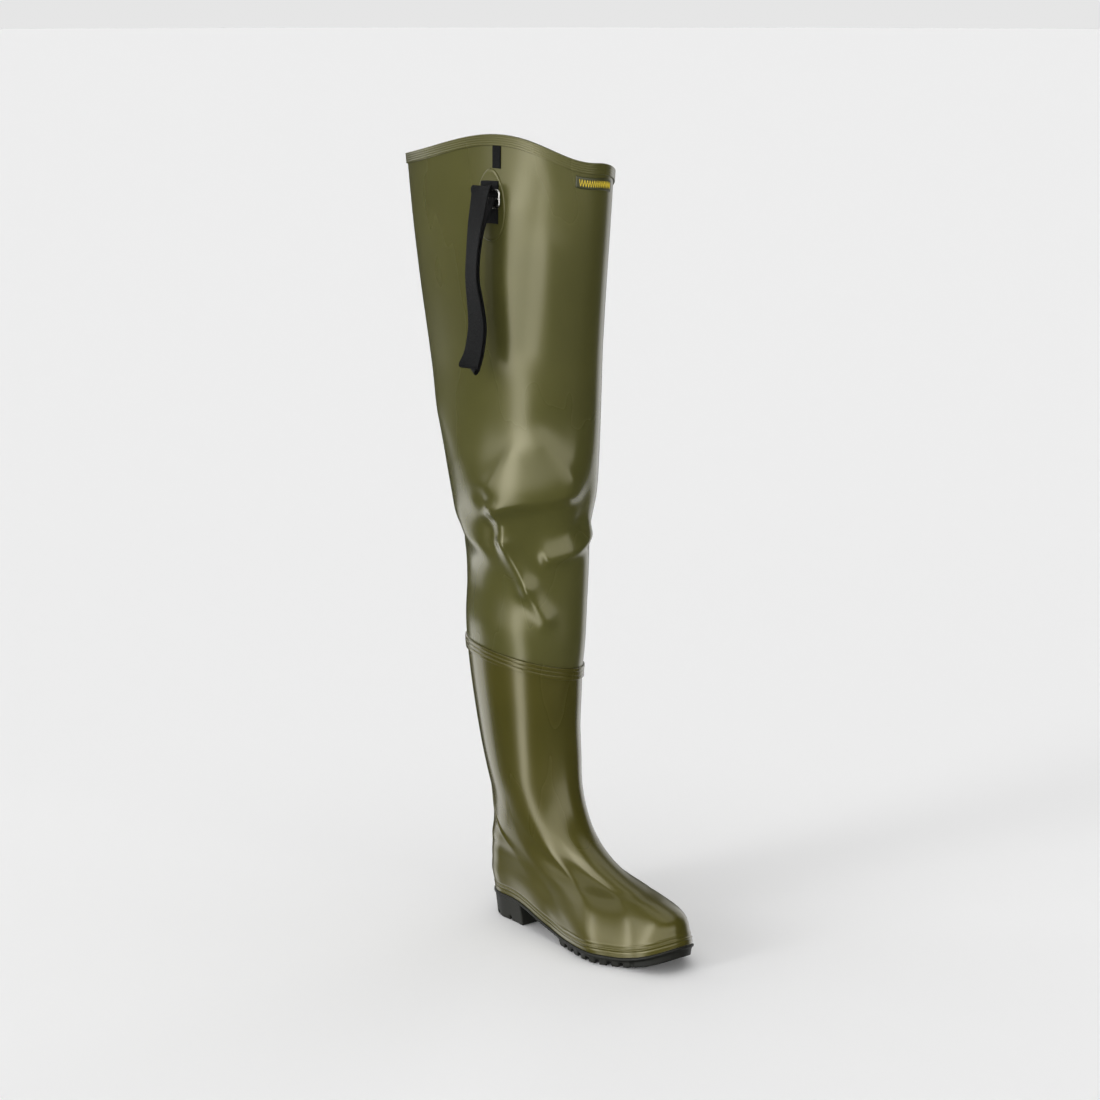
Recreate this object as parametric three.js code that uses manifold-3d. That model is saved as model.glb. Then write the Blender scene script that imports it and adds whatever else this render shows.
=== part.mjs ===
// Thigh-length rubber boot, right foot, in millimetres.
// +X points to the toe, +Y to the inner side of the leg, +Z up.
// The origin is the middle of the heel's flat tread face, on the floor.
import * as THREE from 'three';
import { mergeVertices } from 'three/addons/utils/BufferGeometryUtils.js';
import Module from 'manifold-3d';

const wasm = await Module();
wasm.setup();

// Foot sizes
const soleLength = 300;
const ballWidth = 101;
const heelHeight = 30;
const forefootHeight = 12.5;
const toeSpring = 20;
const heelRest = 38;
const bootRise = 287;
const bootWall = 2.2;

// Leg sizes, from the joint ring to the collar
const shaftRise = 529;
const shaftWall = 1.3;
const thighDepth = 312;
const thighBack = 113;
const thighWidth = 144;
const thighLean = 31;
const collarPeak = 39;
const collarShoulder = 12;
const collarDip = 18;
const collarSkew = 0.46;

// Raised strips moulded on the foot
const foxingHeight = 8.5;
const foxingStep = 1.2;
const counterStep = 0.9;
const counterPeak = 140;
const counterReach = 165;

// Sole sizes
const soleRim = 3.5;
const rimLip = 1.5;
const heelInset = 3;
const heelBreast = 74;
const archThickness = 4.5;
const forefootStart = 148;
const springStart = 240;
const lugDepth = 5.5;
const lugPitch = 14;
const lugGroove = 5;
const heelPitch = 24;
const heelGroove = 4;
const insoleThickness = 3;

// Joint band and collar binding
const bandHeight = 14.5;
const bandThickness = 1.7;
const bandRibs = 3;
const bindingHeight = 11.8;
const bindingThickness = 1.3;
const bindingRibs = 2;
const grooveWidth = 1.1;
const grooveDepth = 0.7;

// Back seam of the leg
const seamWidth = 11;
const seamStep = 0.6;
const seamAngle = THREE.MathUtils.degToRad(280);
const seamSlant = THREE.MathUtils.degToRad(-21);
const seamClear = 2;

// Knee folds
const foldDepth = 9;
const foldReach = 30;

// Strap and its fittings
const strapWidth = 25;
const strapThickness = 1.6;
const strapLength = 190;
const strapOut = 23.5;
const anchorHeight = 42;
const anchorThickness = 1.4;
const patchWidth = 44;
const patchHeight = 72;
const patchThickness = 0.9;
const tabWidth = 11;
const tabHeight = 20;
const tabThickness = 1.2;
const buckleWidth = 31;
const buckleHeight = 18;
const buckleWire = 2.4;
const labelWidth = 44;
const labelHeight = 10;
const labelThickness = 0.8;

// Clearance between neighbours
const gap = 0.3;

// Number of columns round the foot and the leg
const columns = 44;

// Heights of the foot's parts over the floor, from the heel's back to the toe
function ease(from, to, value) {
  const t = THREE.MathUtils.clamp((value - from) / (to - from), 0, 1);
  return t * t * (3 - 2 * t);
}

function springAt(x) {
  const past = Math.max(x + heelRest - springStart, 0);
  return toeSpring * (past / (soleLength - springStart)) ** 1.7;
}

// The feather line, where the upper meets the sole
function featherAt(x) {
  const step = ease(0.183 * soleLength, 0.55 * soleLength, x + heelRest);
  return THREE.MathUtils.lerp(heelHeight, forefootHeight, step) + springAt(x);
}

function named(names, rows) {
  return rows.map((row) => Object.fromEntries(names.map((name, k) => [name, row[k]])));
}

// Sections of the foot and ankle, each a closed loop, from the feather line to the joint ring.
// back and front: share of soleLength, from the heel's back.
// riseBack and riseFront: share of bootRise, over the feather line or the heel.
// Half widths at heel, waist, ball and toe, on the outer and inner side: share of ballWidth.
// roundBack and roundFront: share of the section's own length that the end rounding takes.
// follow: how closely the section follows the sole. swing: bend of the toe to the inside.
const footStations = [0.16, 0.42, 0.7, 0.88];
const footSections = named([
  'back', 'front', 'riseBack', 'riseFront',
  'heelOut', 'heelIn', 'waistOut', 'waistIn', 'ballOut', 'ballIn', 'toeOut', 'toeIn',
  'roundBack', 'roundFront', 'follow', 'swing', 'side', 'bank'], [
  [0.005, 0.987, 0, 0, 0.37, 0.35, 0.42, 0.32, 0.525, 0.485, 0.355, 0.425, 0.125, 0.19, 1, 0.045, 0, 0],
  [-0.003, 0.983, 0.042, 0.043, 0.385, 0.355, 0.435, 0.355, 0.55, 0.51, 0.365, 0.43, 0.13, 0.19, 1, 0.045, 0, 0],
  [-0.01, 0.969, 0.084, 0.083, 0.395, 0.365, 0.435, 0.375, 0.535, 0.5, 0.335, 0.4, 0.13, 0.2, 0.8, 0.045, 0, 0],
  [-0.01, 0.935, 0.125, 0.12, 0.395, 0.365, 0.42, 0.375, 0.485, 0.455, 0.295, 0.345, 0.14, 0.21, 0.5, 0.045, 0, 0],
  [-0.01, 0.875, 0.16, 0.142, 0.385, 0.355, 0.405, 0.365, 0.42, 0.385, 0.245, 0.275, 0.15, 0.22, 0.25, 0.04, -0.01, 0],
  [-0.007, 0.783, 0.199, 0.159, 0.375, 0.355, 0.395, 0.355, 0.36, 0.325, 0.22, 0.23, 0.17, 0.25, 0.1, 0.03, -0.02, 0],
  [0, 0.68, 0.24, 0.188, 0.375, 0.355, 0.385, 0.345, 0.335, 0.285, 0.24, 0.21, 0.2, 0.3, 0, 0.02, -0.04, 0],
  [0.01, 0.583, 0.289, 0.237, 0.375, 0.355, 0.385, 0.355, 0.345, 0.305, 0.285, 0.26, 0.28, 0.38, 0, 0.01, -0.06, 0],
  [0.017, 0.507, 0.348, 0.307, 0.395, 0.365, 0.395, 0.375, 0.375, 0.355, 0.355, 0.335, 0.38, 0.46, 0, 0, -0.08, 0],
  [0.008, 0.457, 0.418, 0.394, 0.41, 0.385, 0.42, 0.395, 0.42, 0.395, 0.41, 0.385, 0.46, 0.5, 0, 0, -0.09, 0],
  [-0.012, 0.433, 0.505, 0.491, 0.44, 0.415, 0.45, 0.425, 0.45, 0.425, 0.44, 0.415, 0.5, 0.5, 0, 0, -0.105, 0],
  [-0.034, 0.423, 0.61, 0.603, 0.47, 0.455, 0.47, 0.455, 0.47, 0.455, 0.47, 0.455, 0.5, 0.5, 0, 0, -0.115, 0],
  [-0.06, 0.423, 0.742, 0.721, 0.483, 0.475, 0.483, 0.475, 0.483, 0.475, 0.483, 0.475, 0.5, 0.5, 0, 0, -0.135, -0.04],
  [-0.08, 0.43, 0.875, 0.833, 0.505, 0.505, 0.505, 0.505, 0.505, 0.505, 0.505, 0.505, 0.5, 0.5, 0, 0, -0.15, -0.1],
  [-0.093, 0.437, 1, 0.951, 0.525, 0.525, 0.525, 0.525, 0.525, 0.525, 0.525, 0.525, 0.5, 0.5, 0, 0, -0.163, -0.17],
]);

// Sections of the leg. rise is a share of shaftRise. back, front, width and side run from 0 at
// the joint ring to 1 at the collar. tilt and bank are shares of the ring's own tilt and bank.
const legSections = named(['rise', 'back', 'front', 'width', 'side', 'tilt', 'bank'], [
  [0, 0, 0, 0, 0, 1, 1],
  [0.066, 0, 0.07, 0.1, 0.03, 1, 0.7],
  [0.147, 0, 0.09, 0.1, -0.1, 0.7, 0.35],
  [0.232, 0.024, 0.19, 0.16, 0.03, 0.35, 0.1],
  [0.327, 0.19, 0.37, 0.47, 0.24, 0.15, 0],
  [0.422, 0.333, 0.456, 0.68, 0.38, 0, 0],
  [0.535, 0.464, 0.56, 0.79, 0.59, 0, 0],
  [0.648, 0.595, 0.66, 0.84, 0.79, 0, 0],
  [0.762, 0.738, 0.78, 0.895, 0.93, 0, 0],
  [0.883, 0.88, 0.897, 0.947, 1, 0.14, 0.12],
  [1, 1, 1, 1, 1, -0.43, 0.24],
]);

// Knee folds, each a soft ridge or trough from one place to another on the leg.
// Angles in degrees from the back, round the outer side. rise is a share of shaftRise,
// reach a share of foldReach and depth a share of foldDepth, outward when positive.
// lean makes one flank wider than the other: the upper one when positive.
const kneeFolds = named(['angle', 'rise', 'toAngle', 'toRise', 'reach', 'depth', 'lean'], [
  [106, 0.345, 164, 0.362, 0.93, 1.05, 0.6],
  [121, 0.44, 107, 0.375, 0.45, 0.4, 0],
  [149, 0.465, 166, 0.4, 0.45, 0.45, 0],
  [132, 0.316, 176, 0.308, 0.5, -0.6, 0],
  [184, 0.304, 216, 0.284, 1.05, -1.15, 0],
  [152, 0.226, 204, 0.26, 0.45, 0.6, 0.2],
  [110, 0.312, 112, 0.262, 0.42, 0.6, 0],
  [114, 0.236, 126, 0.18, 0.42, 0.6, 0],
  [132, 0.154, 144, 0.12, 0.42, 0.55, 0],
  [103, 0.345, 106, 0.25, 0.36, -0.7, 0],
  [62, 0.32, 78, 0.25, 1.1, 1.0, 0],
  [62, 0.49, 86, 0.4, 0.6, 0.35, 0],
  [30, 0.272, 62, 0.258, 0.33, -0.6, 0],
  [5, 0.3, 35, 0.3, 0.65, -0.6, 0],
  [136, 0.19, 180, 0.165, 0.7, -0.45, 0],
  [290, 0.26, 330, 0.3, 0.7, -0.45, 0],
]);

// Place in the leg's sections above which there are no folds
const foldsEnd = 5.4;

// Upper edge of the heel counter in side view. along is a share of counterReach from the
// heel's back, rise a share of counterPeak over the heel. counterTurn: how far it goes round.
const counterTurn = 0.62 * Math.PI;
const counterEdge = named(['along', 'rise'], [
  [0.84, 0.09],
  [0.55, 0.32],
  [0.3, 0.52],
  [0.15, 0.74],
  [0.02, 1],
]);

// Grooves that cut the forefoot's tread into lugs, one row of them a line. side and length are
// shares of ballWidth, width a share of lugGroove, lean in degrees, start a share of lugPitch
// past the forefoot's start, end a share of soleLength.
const lugRows = named(['side', 'length', 'width', 'lean', 'start', 'end'], [
  [-0.46, 0.36, 1, 12, 1, 0.965],
  [0.5, 0.36, 1, -12, 1, 0.965],
  [0.03, 0.42, 0.8, 0, 1.5, 0.9],
]);

// Grooves of the heel's tread: side and length as shares of ballWidth
const heelRows = named(['side', 'length'], [
  [-0.36, 0.3],
  [0.34, 0.3],
]);

// One row of a table at any place between its rows, on a smooth curve through them
function rowAt(rows, place) {
  const index = THREE.MathUtils.clamp(Math.floor(place), 0, rows.length - 2);
  const t = place - index;
  const row = {};
  for (const name of Object.keys(rows[0])) {
    const b = rows[index][name];
    const c = rows[index + 1][name];
    const a = index > 0 ? rows[index - 1][name] : 2 * b - c;
    const d = index + 2 < rows.length ? rows[index + 2][name] : 2 * c - b;
    row[name] = b + 0.5 * t * (c - a + t * (2 * a - 5 * b + 4 * c - d + t * (3 * (b - c) + d - a)));
  }
  return row;
}

// Half width between the stations
function widthAt(along, widths) {
  const places = [-1, ...footStations, 2];
  const values = [widths[0], ...widths, widths[3]];
  const k = places.findIndex((place) => place > along) - 1;
  return THREE.MathUtils.lerp(values[k], values[k + 1], ease(places[k], places[k + 1], along));
}

function quarterRound(share) {
  return Math.sqrt(1 - (1 - Math.min(share, 1)) ** 2);
}

function sineOf(angle) {
  const value = Math.sin(angle);
  return Math.abs(value) < 1e-9 ? 0 : value;
}

// A point of the foot's surface. The angle starts at the back and goes round the outer side first.
function footPoint(place, angle) {
  const row = rowAt(footSections, place);
  const along = (1 - Math.cos(angle)) / 2;
  const outer = sineOf(angle) >= 0;
  const widths = outer
    ? [row.heelOut, row.waistOut, row.ballOut, row.toeOut]
    : [row.heelIn, row.waistIn, row.ballIn, row.toeIn];
  const x = THREE.MathUtils.lerp(row.back, row.front, along) * soleLength - heelRest;
  const rounding = quarterRound(along / row.roundBack) * quarterRound((1 - along) / row.roundFront);
  const half = widthAt(along, widths) * rounding * ballWidth;
  const middle = (row.side + row.swing * ease(0.55, 1, along)) * ballWidth;
  const y = middle + (outer ? -half : half);
  const base = THREE.MathUtils.lerp(heelHeight, featherAt(x), row.follow);
  const rise = THREE.MathUtils.lerp(row.riseBack, row.riseFront, along) * bootRise;
  return new THREE.Vector3(x, y, base + rise + row.bank * (y - row.side * ballWidth));
}

// The joint ring is the foot's last section
const ringPlace = footSections.length - 1;
const ringRow = footSections[ringPlace];
const ring = {
  back: ringRow.back * soleLength - heelRest,
  front: ringRow.front * soleLength - heelRest,
  half: ringRow.waistOut * ballWidth,
  side: ringRow.side * ballWidth,
  height: heelHeight + ringRow.riseBack * bootRise,
  tilt: (ringRow.riseFront - ringRow.riseBack) * bootRise,
};

// Height of the leg's first row of sections, over the joint ring
const jointRow = legSections[1].rise * shaftRise;

// The collar is the leg's last section
const collarPlace = legSections.length - 1;
const collarRow = (legSections[collarPlace].rise - legSections[collarPlace - 1].rise) * shaftRise;

// The collar climbs from its shoulders to a peak on the outer side and dips on the inner side
function collarLift(angle) {
  const skewed = sineOf(angle - collarSkew * Math.sin(angle));
  const peak = (collarPeak - collarShoulder) * Math.max(skewed, 0) ** 3;
  const dip = (collarShoulder + collarDip) * Math.max(-sineOf(angle), 0) ** 1.8;
  return collarShoulder + peak - dip;
}

// A point of the leg's surface. The columns slant with the seam.
function legPoint(place, column) {
  const row = rowAt(legSections, place);
  const angle = column + seamSlant * row.rise * 0.5 * (1 + Math.cos(column - seamAngle));
  const back = THREE.MathUtils.lerp(ring.back, -thighBack - heelRest, row.back);
  const front = THREE.MathUtils.lerp(ring.front, thighDepth - thighBack - heelRest, row.front);
  const half = THREE.MathUtils.lerp(ring.half, thighWidth / 2, row.width);
  const side = THREE.MathUtils.lerp(ring.side, -thighLean, row.side);
  const along = (1 - Math.cos(angle)) / 2;
  const x = THREE.MathUtils.lerp(back, front, along);
  const y = side - half * Math.sin(angle);
  const lift = row.tilt * ring.tilt * along + row.bank * ringRow.bank * (y - side);
  const z = ring.height + row.rise * shaftRise + lift + row.rise ** 2 * collarLift(angle);
  return new THREE.Vector3(x, y, z);
}

// How far the knee folds push the leg's wall out, at one place
function foldAt(place, column) {
  const rise = rowAt(legSections, place).rise * shaftRise;
  const radius = (ring.front - ring.back) / 2;
  const degrees = THREE.MathUtils.radToDeg(column);
  let push = 0;
  for (const fold of kneeFolds) {
    const run = new THREE.Vector2(
      THREE.MathUtils.degToRad(fold.toAngle - fold.angle) * radius,
      (fold.toRise - fold.rise) * shaftRise);
    const here = new THREE.Vector2(
      THREE.MathUtils.degToRad(degrees - fold.angle) * radius,
      rise - fold.rise * shaftRise);
    const share = THREE.MathUtils.clamp(here.dot(run) / run.lengthSq(), 0, 1);
    const distance = here.distanceTo(run.clone().multiplyScalar(share));
    const side = distance > 0 ? run.cross(here) / (run.length() * distance) : 0;
    const away = distance / (fold.reach * foldReach * (1 + fold.lean * side));
    push += fold.depth * foldDepth * Math.exp(-away * away);
  }
  return push;
}

// Outward normal of a surface given as a function of place and angle
function normalAt(surface, place, angle, flat) {
  const turn = 0.01;
  const step = 0.02;
  const around = surface(place, angle + turn).sub(surface(place, angle - turn));
  const up = surface(place + step, angle).sub(surface(place - step, angle));
  const normal = around.cross(up);
  if (flat) normal.z = 0;
  return normal.normalize();
}

// The skin at some distance outside the surface. A flat rim keeps its height.
function footSkin(place, angle, offset, flat = false) {
  const skin = footPoint(place, angle);
  skin.addScaledVector(normalAt(footPoint, place, angle, flat), offset);
  if (place === 0) skin.z = featherAt(skin.x);
  return skin;
}

function legSkin(place, angle, offset, flat = false) {
  const push = offset + foldAt(place, angle);
  return legPoint(place, angle).addScaledVector(normalAt(legPoint, place, angle, flat), push);
}

const angles = Array.from({ length: columns }, (_, k) => (k / columns) * 2 * Math.PI);

// Leg columns, with a pair of close ones at each edge of the seam
const seamHalf = seamWidth / (ring.front - ring.back);
const seamEdge = 0.006;
const legAngles = [...angles.filter((angle) => Math.abs(angle - seamAngle) > seamHalf + 2 * seamEdge)];
for (const side of [-1, 1]) {
  legAngles.push(seamAngle + side * (seamHalf - seamEdge));
  legAngles.push(seamAngle + side * (seamHalf + seamEdge));
}
legAngles.sort((a, b) => a - b);

function overSeam(angle) {
  return Math.abs(angle - seamAngle) < seamHalf;
}

function geometryOf(points, faces) {
  const geometry = new THREE.BufferGeometry();
  geometry.setAttribute('position', new THREE.Float32BufferAttribute(points.flatMap((p) => p.toArray()), 3));
  geometry.setIndex(faces.flat());
  return geometry;
}

// A body from closed loops, each joined to the next and the last one to the first
function ringBody(loops) {
  const count = loops[0].length;
  const faces = [];
  loops.forEach((_, r) => {
    const next = (r + 1) % loops.length;
    for (let c = 0; c < count; c++) {
      const d = (c + 1) % count;
      faces.push([r * count + c, r * count + d, next * count + d]);
      faces.push([r * count + c, next * count + d, next * count + c]);
    }
  });
  return geometryOf(loops.flat(), faces);
}

// A body from closed loops with a cap on the first and the last, made of strips across the foot
function cappedBody(loops) {
  const count = loops[0].length;
  const last = (loops.length - 1) * count;
  const faces = [];
  for (let r = 0; r < loops.length - 1; r++) {
    for (let c = 0; c < count; c++) {
      const d = (c + 1) % count;
      faces.push([r * count + c, r * count + d, (r + 1) * count + d]);
      faces.push([r * count + c, (r + 1) * count + d, (r + 1) * count + c]);
    }
  }
  for (let c = 0; c < count / 2; c++) {
    const near = [c, c + 1];
    const far = [(count - c) % count, count - c - 1];
    if (c > 0) {
      faces.push([near[0], far[0], near[1]]);
      faces.push([last + near[0], last + near[1], last + far[0]]);
    }
    if (c + 1 < count / 2) {
      faces.push([far[0], far[1], near[1]]);
      faces.push([last + far[0], last + near[1], last + far[1]]);
    }
  }
  return geometryOf(loops.flat(), faces);
}

// A closed piece of skin: grid(u, v, offset) over two lists of places, between two offsets
function skinPatch(skin, places, around, inner, outer) {
  const rows = places.length;
  const cols = around.length;
  const points = [];
  for (const offset of [inner, outer]) {
    for (const place of places) {
      for (const angle of around) points.push(skin(place, angle, offset));
    }
  }
  const at = (layer, r, c) => (layer * rows + r) * cols + c;
  const faces = [];
  const quad = (a, b, c, d) => faces.push([a, b, c], [a, c, d]);
  for (let r = 0; r + 1 < rows; r++) {
    for (let c = 0; c + 1 < cols; c++) {
      quad(at(1, r, c), at(1, r, c + 1), at(1, r + 1, c + 1), at(1, r + 1, c));
      quad(at(0, r, c), at(0, r + 1, c), at(0, r + 1, c + 1), at(0, r, c + 1));
    }
    quad(at(0, r, 0), at(1, r, 0), at(1, r + 1, 0), at(0, r + 1, 0));
    quad(at(1, r, cols - 1), at(0, r, cols - 1), at(0, r + 1, cols - 1), at(1, r + 1, cols - 1));
  }
  for (let c = 0; c + 1 < cols; c++) {
    quad(at(0, 0, c), at(0, 0, c + 1), at(1, 0, c + 1), at(1, 0, c));
    quad(at(1, rows - 1, c), at(1, rows - 1, c + 1), at(0, rows - 1, c + 1), at(0, rows - 1, c));
  }
  return geometryOf(points, faces);
}

function spread(from, to, count) {
  return Array.from({ length: count }, (_, k) => THREE.MathUtils.lerp(from, to, k / (count - 1)));
}

// Joins and cuts
function toSolid(geometry) {
  const bare = geometry.clone();
  bare.deleteAttribute('normal');
  bare.deleteAttribute('uv');
  const merged = mergeVertices(bare, 1e-4);
  const triVerts = new Uint32Array(merged.index.array);
  const vertProperties = new Float32Array(merged.attributes.position.array);
  return new wasm.Manifold(new wasm.Mesh({ numProp: 3, vertProperties, triVerts }));
}

function toGeometry(solid) {
  const mesh = solid.getMesh();
  const geometry = new THREE.BufferGeometry();
  geometry.setAttribute('position', new THREE.BufferAttribute(mesh.vertProperties, 3));
  geometry.setIndex(new THREE.BufferAttribute(mesh.triVerts, 1));
  return geometry;
}

// A side view outline in X and Z, extruded across the foot
function sideCut(outline, width) {
  const shape = new THREE.Shape(outline.map(([x, z]) => new THREE.Vector2(x, z)));
  const geometry = new THREE.ExtrudeGeometry(shape, { depth: width, bevelEnabled: false });
  geometry.rotateX(Math.PI / 2);
  geometry.translate(0, width / 2, 0);
  return toSolid(geometry);
}

// The foot's hollow wall, with the foxing strip as a step round its lower edge
function footWall() {
  const foxingPlace = foxingHeight / (footSections[1].riseBack * bootRise);
  const stepPlace = foxingPlace + 0.08;
  const outerRows = [
    [0, foxingStep], [0.35, foxingStep], [foxingPlace, foxingStep], [stepPlace, 0],
    ...spread(1.15, ringPlace, 16).map((place) => [place, 0])];
  const innerRows = spread(ringPlace, 0, 12).map((place) => [place, -bootWall]);
  const loops = [...outerRows, ...innerRows].map(([place, offset]) => {
    const flat = place === 0 || place === ringPlace;
    return angles.map((angle) => footSkin(place, angle, offset, flat));
  });
  return toSolid(ringBody(loops));
}

// The heel counter, cut from a thicker skin by its side view outline
function heelCounter() {
  const around = spread(-counterTurn, counterTurn, 27);
  const skin = skinPatch(footSkin, spread(0.3, 10.6, 13), around, -bootWall / 2, counterStep);
  const low = heelHeight - soleRim;
  const behind = -2 * heelRest;
  const edge = [
    [behind, low],
    [counterReach - heelRest, low],
    ...counterEdge.map((row) => [row.along * counterReach - heelRest, heelHeight + row.rise * counterPeak]),
    [behind, heelHeight + 1.1 * counterPeak]];
  return toSolid(skin).intersect(sideCut(edge, 2 * ballWidth));
}

function upperGeometry() {
  return toGeometry(footWall().add(heelCounter()));
}

// The leg's hollow wall, with its seam as a step between the band and the binding
function shaftGeometry() {
  const topPlace = collarPlace - (bindingThickness + gap) / collarRow;
  const seamEnd = collarPlace - (bindingHeight + seamClear) / collarRow;
  const seamStart = (bandHeight / 2 + seamClear) / jointRow;
  const small = 0.02;
  const outerRows = [
    [0, 0, 0], [seamStart, 0, 0], [seamStart + small, 0, seamStep],
    ...spread(1, foldsEnd, 12).map((place) => [place, 0, seamStep]),
    ...spread(foldsEnd + 1, collarPlace - 0.6, 3).map((place) => [place, 0, seamStep]),
    [seamEnd - small, 0, seamStep], [seamEnd, 0, 0], [topPlace, 0, 0]];
  const innerPlaces = [
    topPlace, ...spread(collarPlace - 1.6, foldsEnd, 3), ...spread(foldsEnd - 0.55, 1, 8), 0];
  const innerRows = innerPlaces.map((place) => [place, -shaftWall, 0]);
  const loops = [...outerRows, ...innerRows].map(([place, offset, step]) => legAngles.map((angle) => {
    const skin = legSkin(place, angle, offset + (overSeam(angle) ? step : 0), place === 0);
    if (place === 0) skin.z += gap;
    return skin;
  }));
  return ringBody(loops);
}

// Heights of the edges of ribs over a strip, with a groove between each two
function ribEdges(height, ribs) {
  const edges = [];
  const rib = (height - (ribs - 1) * grooveWidth) / ribs;
  const flank = 0.3 * grooveWidth;
  for (let k = 0; k < ribs; k++) {
    const low = k * (rib + grooveWidth);
    if (k > 0) edges.push([low - flank, -grooveDepth]);
    edges.push([low, 0]);
    edges.push([low + rib, 0]);
    if (k + 1 < ribs) edges.push([low + rib + flank, -grooveDepth]);
  }
  return edges;
}

// The skin at some height over or under the joint ring
function jointSkin(height, angle, offset) {
  if (height > 0) return legSkin(height / jointRow, angle, offset);
  const lastRow = (footSections[ringPlace].riseBack - footSections[ringPlace - 1].riseBack) * bootRise;
  const fold = foldAt(0, angle);
  return footSkin(ringPlace + height / lastRow, angle, offset + fold, height === 0);
}

// The ribbed band over the joint of foot and leg
function bandGeometry() {
  const half = bandHeight / 2;
  const face = gap + bandThickness;
  const section = [
    ...ribEdges(bandHeight, bandRibs).map(([height, dent]) => [height - half, face + dent]),
    [half, gap], [0, gap], [-half, gap]];
  const loops = section.map(([height, offset]) => legAngles.map((angle) => jointSkin(height, angle, offset)));
  return ringBody(loops);
}

// The binding is a U folded over the collar
function bindingGeometry() {
  const face = gap + bindingThickness;
  const back = -shaftWall - gap;
  const edge = 0.4 * bindingThickness;
  const ribs = ribEdges(bindingHeight, bindingRibs);
  const section = [
    ...ribs.slice(0, -1).map(([height, dent]) => [bindingHeight - height, face + dent]),
    [edge, face], [0, gap + edge], [0, back - edge],
    [edge, back - bindingThickness], [bindingHeight, back - bindingThickness],
    [bindingHeight, back], [bindingThickness, back], [bindingThickness, gap], [bindingHeight, gap]];
  const loops = section.map(([drop, offset]) => legAngles.map((angle) => {
    const down = legPoint(collarPlace - 0.2, angle).sub(legPoint(collarPlace, angle)).normalize();
    return legSkin(collarPlace, angle, offset).addScaledVector(down, drop);
  }));
  return ringBody(loops);
}

// The sole's outline at the feather line, some way outside the upper's own
function soleOutline(offset, height) {
  return angles.map((angle) => {
    const point = footSkin(0, angle, offset, true);
    return new THREE.Vector3(point.x, point.y, height ?? point.z);
  });
}

// The sole's side view: its top follows the feather line, its underside has the heel and the arch
function soleProfile(bottomDrop) {
  const ends = [-heelRest - 2 * heelInset, soleLength - heelRest + 2 * heelInset];
  const top = spread(ends[1], ends[0], 33).map((x) => [x, featherAt(x) - gap]);
  if (bottomDrop) {
    return [...top, ...spread(ends[0], ends[1], 33).map((x) => [x, featherAt(x) - gap - bottomDrop])];
  }
  const breast = heelBreast - heelRest;
  const forefoot = forefootStart - heelRest;
  const arch = spread(breast, forefoot, 8).map((x) => [x, featherAt(x) - gap - archThickness]);
  arch[0][0] -= lugGroove / 2;
  arch[7][0] -= lugGroove / 2;
  const tread = spread(springStart - heelRest, ends[1], 9).map((x) => [x, springAt(x)]);
  return [...top, [ends[0], 0], [breast, 0], ...arch, [forefoot, 0], ...tread];
}

// Prisms that cut the tread into lugs, from the sides towards the middle and between them
function treadGrooves() {
  const cutters = [];
  const addGroove = (x, side, length, width, lean) => {
    const box = new THREE.BoxGeometry(width, length * ballWidth, 2 * lugDepth);
    box.rotateZ(THREE.MathUtils.degToRad(lean));
    box.translate(x, side * ballWidth, springAt(x));
    cutters.push(toSolid(box));
  };
  for (const row of lugRows) {
    const start = forefootStart + row.start * lugPitch;
    for (let along = start; along < row.end * soleLength; along += lugPitch) {
      addGroove(along - heelRest, row.side, row.length, row.width * lugGroove, row.lean);
    }
  }
  for (const row of heelRows) {
    addGroove(-heelPitch / 2, row.side, row.length, heelGroove, 0);
    addGroove(heelPitch / 2, row.side, row.length, heelGroove, 0);
  }
  return cutters;
}

function outsoleGeometry() {
  const high = 2 * heelHeight;
  const body = toSolid(cappedBody([
    soleOutline(foxingStep - heelInset, -gap),
    soleOutline(foxingStep, heelHeight - soleRim),
    soleOutline(foxingStep, high)]));
  const rim = toSolid(cappedBody([
    soleOutline(foxingStep + rimLip, -gap),
    soleOutline(foxingStep + rimLip, high)]));
  let sole = body.intersect(sideCut(soleProfile(0), 2 * ballWidth));
  sole = sole.add(rim.intersect(sideCut(soleProfile(soleRim), 2 * ballWidth)));
  for (const cutter of treadGrooves()) sole = sole.subtract(cutter);
  return toGeometry(sole);
}

function insoleGeometry() {
  const low = soleOutline(-bootWall - gap);
  const high = soleOutline(-bootWall - 3 * gap).map((p) => p.setZ(p.z + insoleThickness));
  return cappedBody([low, high]);
}

// Where the strap's fittings sit, round the collar from its back
const fittingAngle = THREE.MathUtils.degToRad(112);
const tabAngle = THREE.MathUtils.degToRad(115.5);
const labelAngle = THREE.MathUtils.degToRad(188);

// Height of the last row of sections under the collar's peak, and the collar's radius
const peakRow = collarRow * (1 + 2 * collarPeak / shaftRise);

function radiusAt(angle) {
  const turn = 0.01;
  return legPoint(collarPlace, angle + turn).distanceTo(legPoint(collarPlace, angle - turn)) / (2 * turn);
}

// A rectangular piece that lies on the leg, some way below the collar
function legPlate(angle, drop, width, height, inner, outer, steps) {
  const half = width / 2 / radiusAt(angle);
  const places = spread(collarPlace - (drop + height) / peakRow, collarPlace - drop / peakRow, steps);
  return skinPatch(legSkin, places, spread(angle - half, angle + half, steps), inner, outer);
}

const tabDrop = bindingHeight + gap;
const patchDrop = tabDrop + tabHeight + gap;
const pearShape = 0.16;
const anchorDrop = patchDrop + pearShape * patchHeight;

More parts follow.
